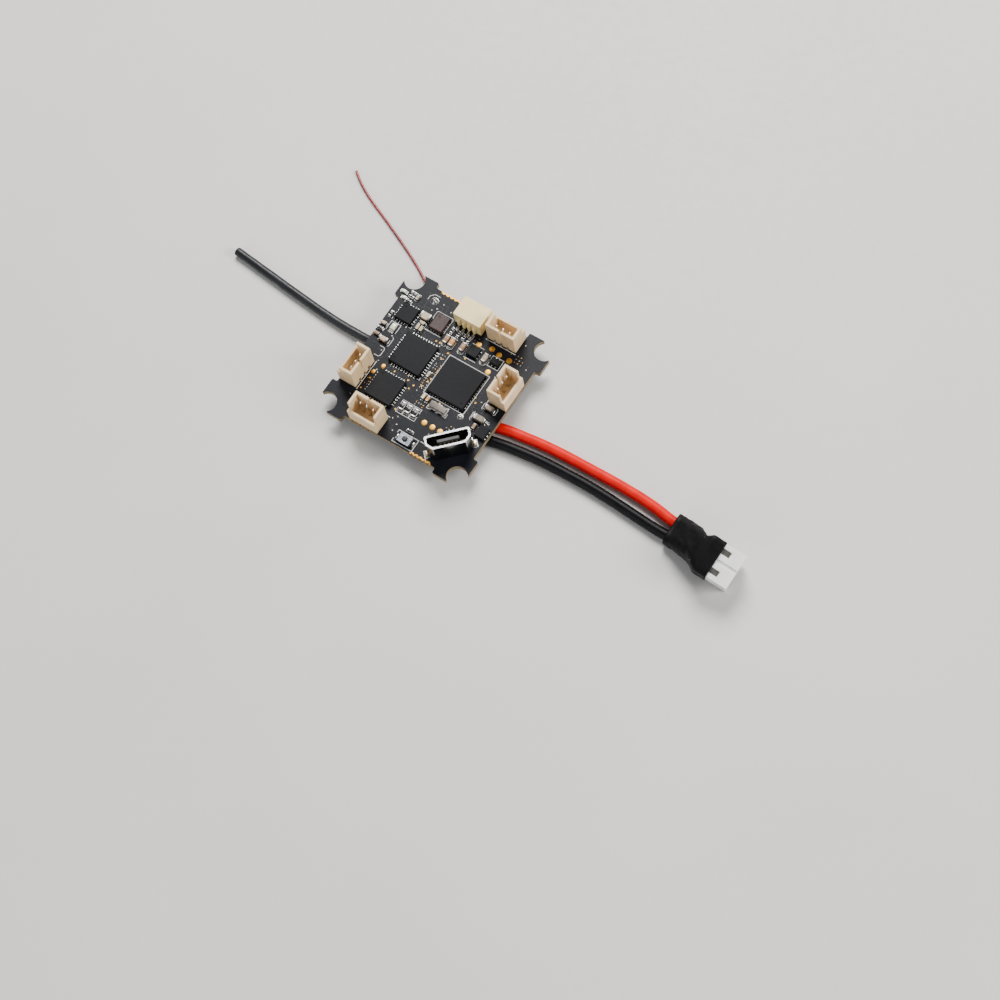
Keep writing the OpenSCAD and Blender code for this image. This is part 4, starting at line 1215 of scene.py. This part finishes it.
def usb_strips(spot):
    strips = Shape()
    for x in (0.65 * k for k in range(-2, 3)):
        strips.box((x - 0.17, -0.18, 1.0), (x + 0.17, -0.09, 3.55), BRASS, 0.04, 2)
    return strips


def usb_turn(spot):
    """The socket stands askew. Its legs leave the middle of the CAD box in place."""
    return 45


# ---- Boot button ----

def button_base(spot):
    x, y = spot.half.xy
    base, ring = Shape(), [0.7 * p for p in circle(48)]
    base.wall(squared(ring, x, y), ring, 0.02, spot.tall(), MOULDED, 0.02)
    return base.prism(rectangle(x - 0.02, y - 0.02, 0.05), 0.0, 0.118, MOULDED, top=(0, 0))


def button_cover(spot):
    x, y = spot.half.xy
    low, high = spot.lo.z - TOP_Z, spot.tall()
    cover, bore = Shape(), 0.46
    cover.wall(squared(circle(48), x, y), [bore * p for p in circle(48)], low, high, COVER, 0.03)
    for s in (-y, y):
        cover.box((-0.8, s - 0.035, 0.12), (0.8, s + 0.035, high - 0.02), COVER, 0.02)
    return cover


def button_legs(spot):
    """Both legs, round the middle of the base."""
    legs, x = Shape(), spot.half.x
    for side in ENDS:
        legs.bar(x - 0.02, x + 0.28, 0.7, 0.0, 0.16, TERMINAL, 0.04, 2, side)
        legs.joint(side, (x - 0.05, x + 0.4, 0.84), (x + 0.26, 0.6, 0.1, 0.13), 0.04, 0.012, 0.03)
    return legs


def button_dome(spot):
    r, rise = spot.half.x, spot.size.z
    profile = [(r * math.cos(a), rise * math.sin(a) ** 1.5)
               for a in (math.pi / 2 * k / 8 for k in range(8))]
    return Shape().lathe([(0, 0), *profile, (0, rise)], COVER, 32, move(z=spot.lo.z - TOP_Z))


def button_plunger(spot):
    low, high = spot.lo.z - TOP_Z, spot.tall()
    return Shape().lathe([(0, low), (0.60, low), (0.62, low + 0.02), (0.62, low + 0.11),
                          (0.60, low + 0.13), (0.42, low + 0.13), (0.42, high - 0.06),
                          (0.39, high - 0.02), (0.34, high), (0.12, high - 0.015),
                          (0, high - 0.02)], MOULDED, 40)


def top_joint(spot):
    """A dome of solder left on a through hole."""
    r, h = spot.half.x, spot.tall()
    slope = [(r * (0.93 - 0.86 * t), h * (1 - (1 - t) ** 2) * 0.98)
             for t in (0.15, 0.3, 0.45, 0.6, 0.75, 0.9)]
    return Shape().lathe([(0, -0.01), (r + 0.08, -0.01), (r + 0.07, 0.025), (0.96 * r, 0.04),
                          *slope, (0, h)], SOLDER, 28)


motor_sockets()
camera_socket()
set_out("usb_socket_shell", "shell_steel", "usb_shell", usb_shell, usb_turn)
set_out("usb_socket_tongue", "black_plastic", "usb_insulator", usb_tongue, usb_turn, "usb_shell")
set_out("usb_contact_strips", "gold_plating", "usb_contacts", usb_strips, usb_turn, "usb_shell")
set_out("boot_button_base", "black_plastic", "button_base", button_base)
set_out("boot_button_cover", "shell_steel", "button_cover", button_cover)
set_out("boot_button_legs", "tinned_metal", "button_terminals", button_legs, at="button_base")
set_out("boot_button_dome", "shell_steel", "button_dome", button_dome)
set_out("boot_button_plunger", "black_plastic", "button_plunger", button_plunger, body=PLUNGER)
set_out("upper_solder_joints", "solder", "top_solder_joints", top_joint)


# ---- Lower face ----

def power_transistor(spot):
    """Four small pads on one side, and one wide pad on the other."""
    x = spot.half.x
    part = leadless(spot, 4, 0.55, 0.2, 0.3, sides=(0,))
    part.bar(-x - 0.22, -x + 0.3, 1.7, -0.01, 0.04, SOLDER, 0.015)
    return part.foot(1.6, 0.2, 0.2, move(-x, 0, 0.03, 180))


def facing_out(spot):
    turn = 0 if abs(spot.mid.x) > abs(spot.mid.y) else 90
    return turn + (0 if max(spot.mid.xy, key=abs) < 0 else 180)


def coil(spot):
    """Shielded coil: square ferrite ring, round drum and a glued gap between them."""
    half, tall, part = spot.half.x, spot.tall(), Shape()
    inner = [(half - 0.28) * p for p in circle(64, 0.5)]
    # A square with its corners cut off
    outer = [p * min(q.length, (half * 2 - 0.55) / (abs(p.x) + abs(p.y)))
             for p, q in zip(circle(64, 0.5), squared(circle(64, 0.5), half, half))]
    part.wall(outer, inner, 0.5, tall, FERRITE, 0.06)
    part.prism(outer, 0.03, 0.55, FERRITE, top=(0, 0))
    part.lathe([(0, 0.3), (half - 0.42, 0.3), (half - 0.42, tall - 0.08),
                (half - 0.5, tall - 0.02), (0, tall - 0.02)], FERRITE, 56)
    return part.lathe([(half - 0.45, 0.5), (half - 0.2, 0.5), (half - 0.2, tall - 0.22),
                       (half - 0.33, tall - 0.14), (half - 0.45, tall - 0.22)], MOULDED, 56)


def coil_end(spot):
    x, width = spot.half.x, spot.size.y
    part = Shape()
    part.bar(-x, x, width, 0, spot.size.z, TERMINAL, 0.06, 2)
    return part.joint(move(x), (-2 * x, 0.4, width + 0.3), (-0.01, 0.9 * width, 0.34, 0.36), 0.04)


def tantalum(spot):
    """Moulded body with its polarity band let in flush."""
    x, width, h = spot.half.x, spot.size.y, spot.tall()
    part, face = Shape(), h - 0.012
    moulded(part, x, width / 2, 0.06, face, TANTALUM, draft=0.09, rim=0.08)
    return part.bar(x - 0.85, x - 0.35, width - 0.4, face - 0.03, h, BAND, 0.008)


def tantalum_ends(spot):
    x, part = spot.half.x, Shape()
    for side in ENDS:
        part.bar(x - 0.04, x + 0.1, 2.2, 0.0, 1.18, TIN, 0.04, 2, side)
        part.joint(side, (x - 0.8, x + 0.5, 2.4), (x + 0.08, 2.0, 0.36, 0.7), 0.05, z=0.03)
    return part


def crystal(spot):
    """Ceramic tray, gold seal ring and lid, with a pad at each corner."""
    x, y = spot.half.xy
    part, tall = Shape(), spot.tall()
    for gap, cut, low, high, mat, top in (
            (0, 0.18, 0.02, 0.55 * tall, ALUMINA, (0.03, 0.03)),
            (0.14, 0.3, 0.5 * tall, 0.62 * tall, GOLD, (0.02, 0.02)),
            (0.25, 0.35, 0.6 * tall, tall, TERMINAL, (0.12, 0.1))):
        part.prism(rectangle(x - gap, y - gap, cut), low, high, mat, top=top)
    for side in (-1, 1):
        for end in (-1, 1):
            part.box((side * 1.1 - 0.5, end * 0.85 - 0.42, -0.01),
                     (side * 1.18 + 0.5, end * 0.93 + 0.42, 0.04), SOLDER, 0.015)
    return part


def cord_joints():
    """Lead ends laid in domes of solder on the lower face."""
    shape = Shape()
    # middle, dome radius and height, wire radius, height of the wire, wire length along X
    joints = [((8.8, -2.2), 1.25, 1.2, 0.5, 1.1, 1.85), ((8.8, -4.9), 1.25, 1.2, 0.5, 1.1, 1.85),
              ((-8.9, 0.4), 1.1, 1.0, 0.28, 1.3, -1.35), ((-7.7, 11.1), 0.9, 0.7, 0, 0, 0)]
    for (x, y), r, h, wire, z, length in joints:
        dome = [(r * math.cos(a) ** 0.8, h * math.sin(a))
                for a in (math.pi / 2 * k / 9 for k in range(1, 9))]
        shape.lathe([(0, -0.01), (r + 0.12, -0.01), (r + 0.1, 0.03), (r, 0.05), *dome, (0, h)],
                    SOLDER, 40, on_face(x, y, -1))
        for k, at in enumerate(circle(6) + [Vector((0, 0))] if wire else ()):
            strand = Vector((x, y, z)) + 0.62 * wire * Vector((0, at.x, at.y))
            shape.tube([strand + Vector((length * t, 0.03 * math.sin(9 * t + k), 0))
                        for t in (0, 0.25, 0.5, 0.75, 1)], 0.36 * wire, STRANDS, 10)
    shape.make("cord_solder_joints_lower", "solder", "cord_solder_joints")


set_out("power_transistor_packages", "chip_epoxy", "power_transistors", power_transistor,
        facing_out)
chip("motor_controller_chips", "chip_epoxy", "motor_controllers", 5, 0.5, 0.28)
chip("receiver_radio_chip", "chip_epoxy", "receiver_chip", 6, 0.5, 0.28)
chip("transmitter_amplifier_chip", "chip_epoxy", "transmitter_amplifier", 4, 0.6, 0.28,
     width=0.28)
set_out("power_coil", "ferrite", "inductor_core", coil)
set_out("power_coil_terminals", "tinned_metal", "inductor_terminals", coil_end,
        away_from(cad("inductor_core").mid.x))
set_out("tantalum_capacitors", "tantalum_case", "bulk_capacitors", tantalum)
set_out("tantalum_terminals", "tinned_metal", "bulk_capacitor_terminals", tantalum_ends,
        at="bulk_capacitors")
set_out("reference_crystal_package", "resonator_lid", "reference_crystal", crystal)
two_ended("lower_ceramics", "ceramic_tan", "underside_capacitors", ceramic,
          "brown", "beige", "stone")
two_ended("lower_resistors", "resistor_black", "underside_resistors", resistor)
cord_joints()
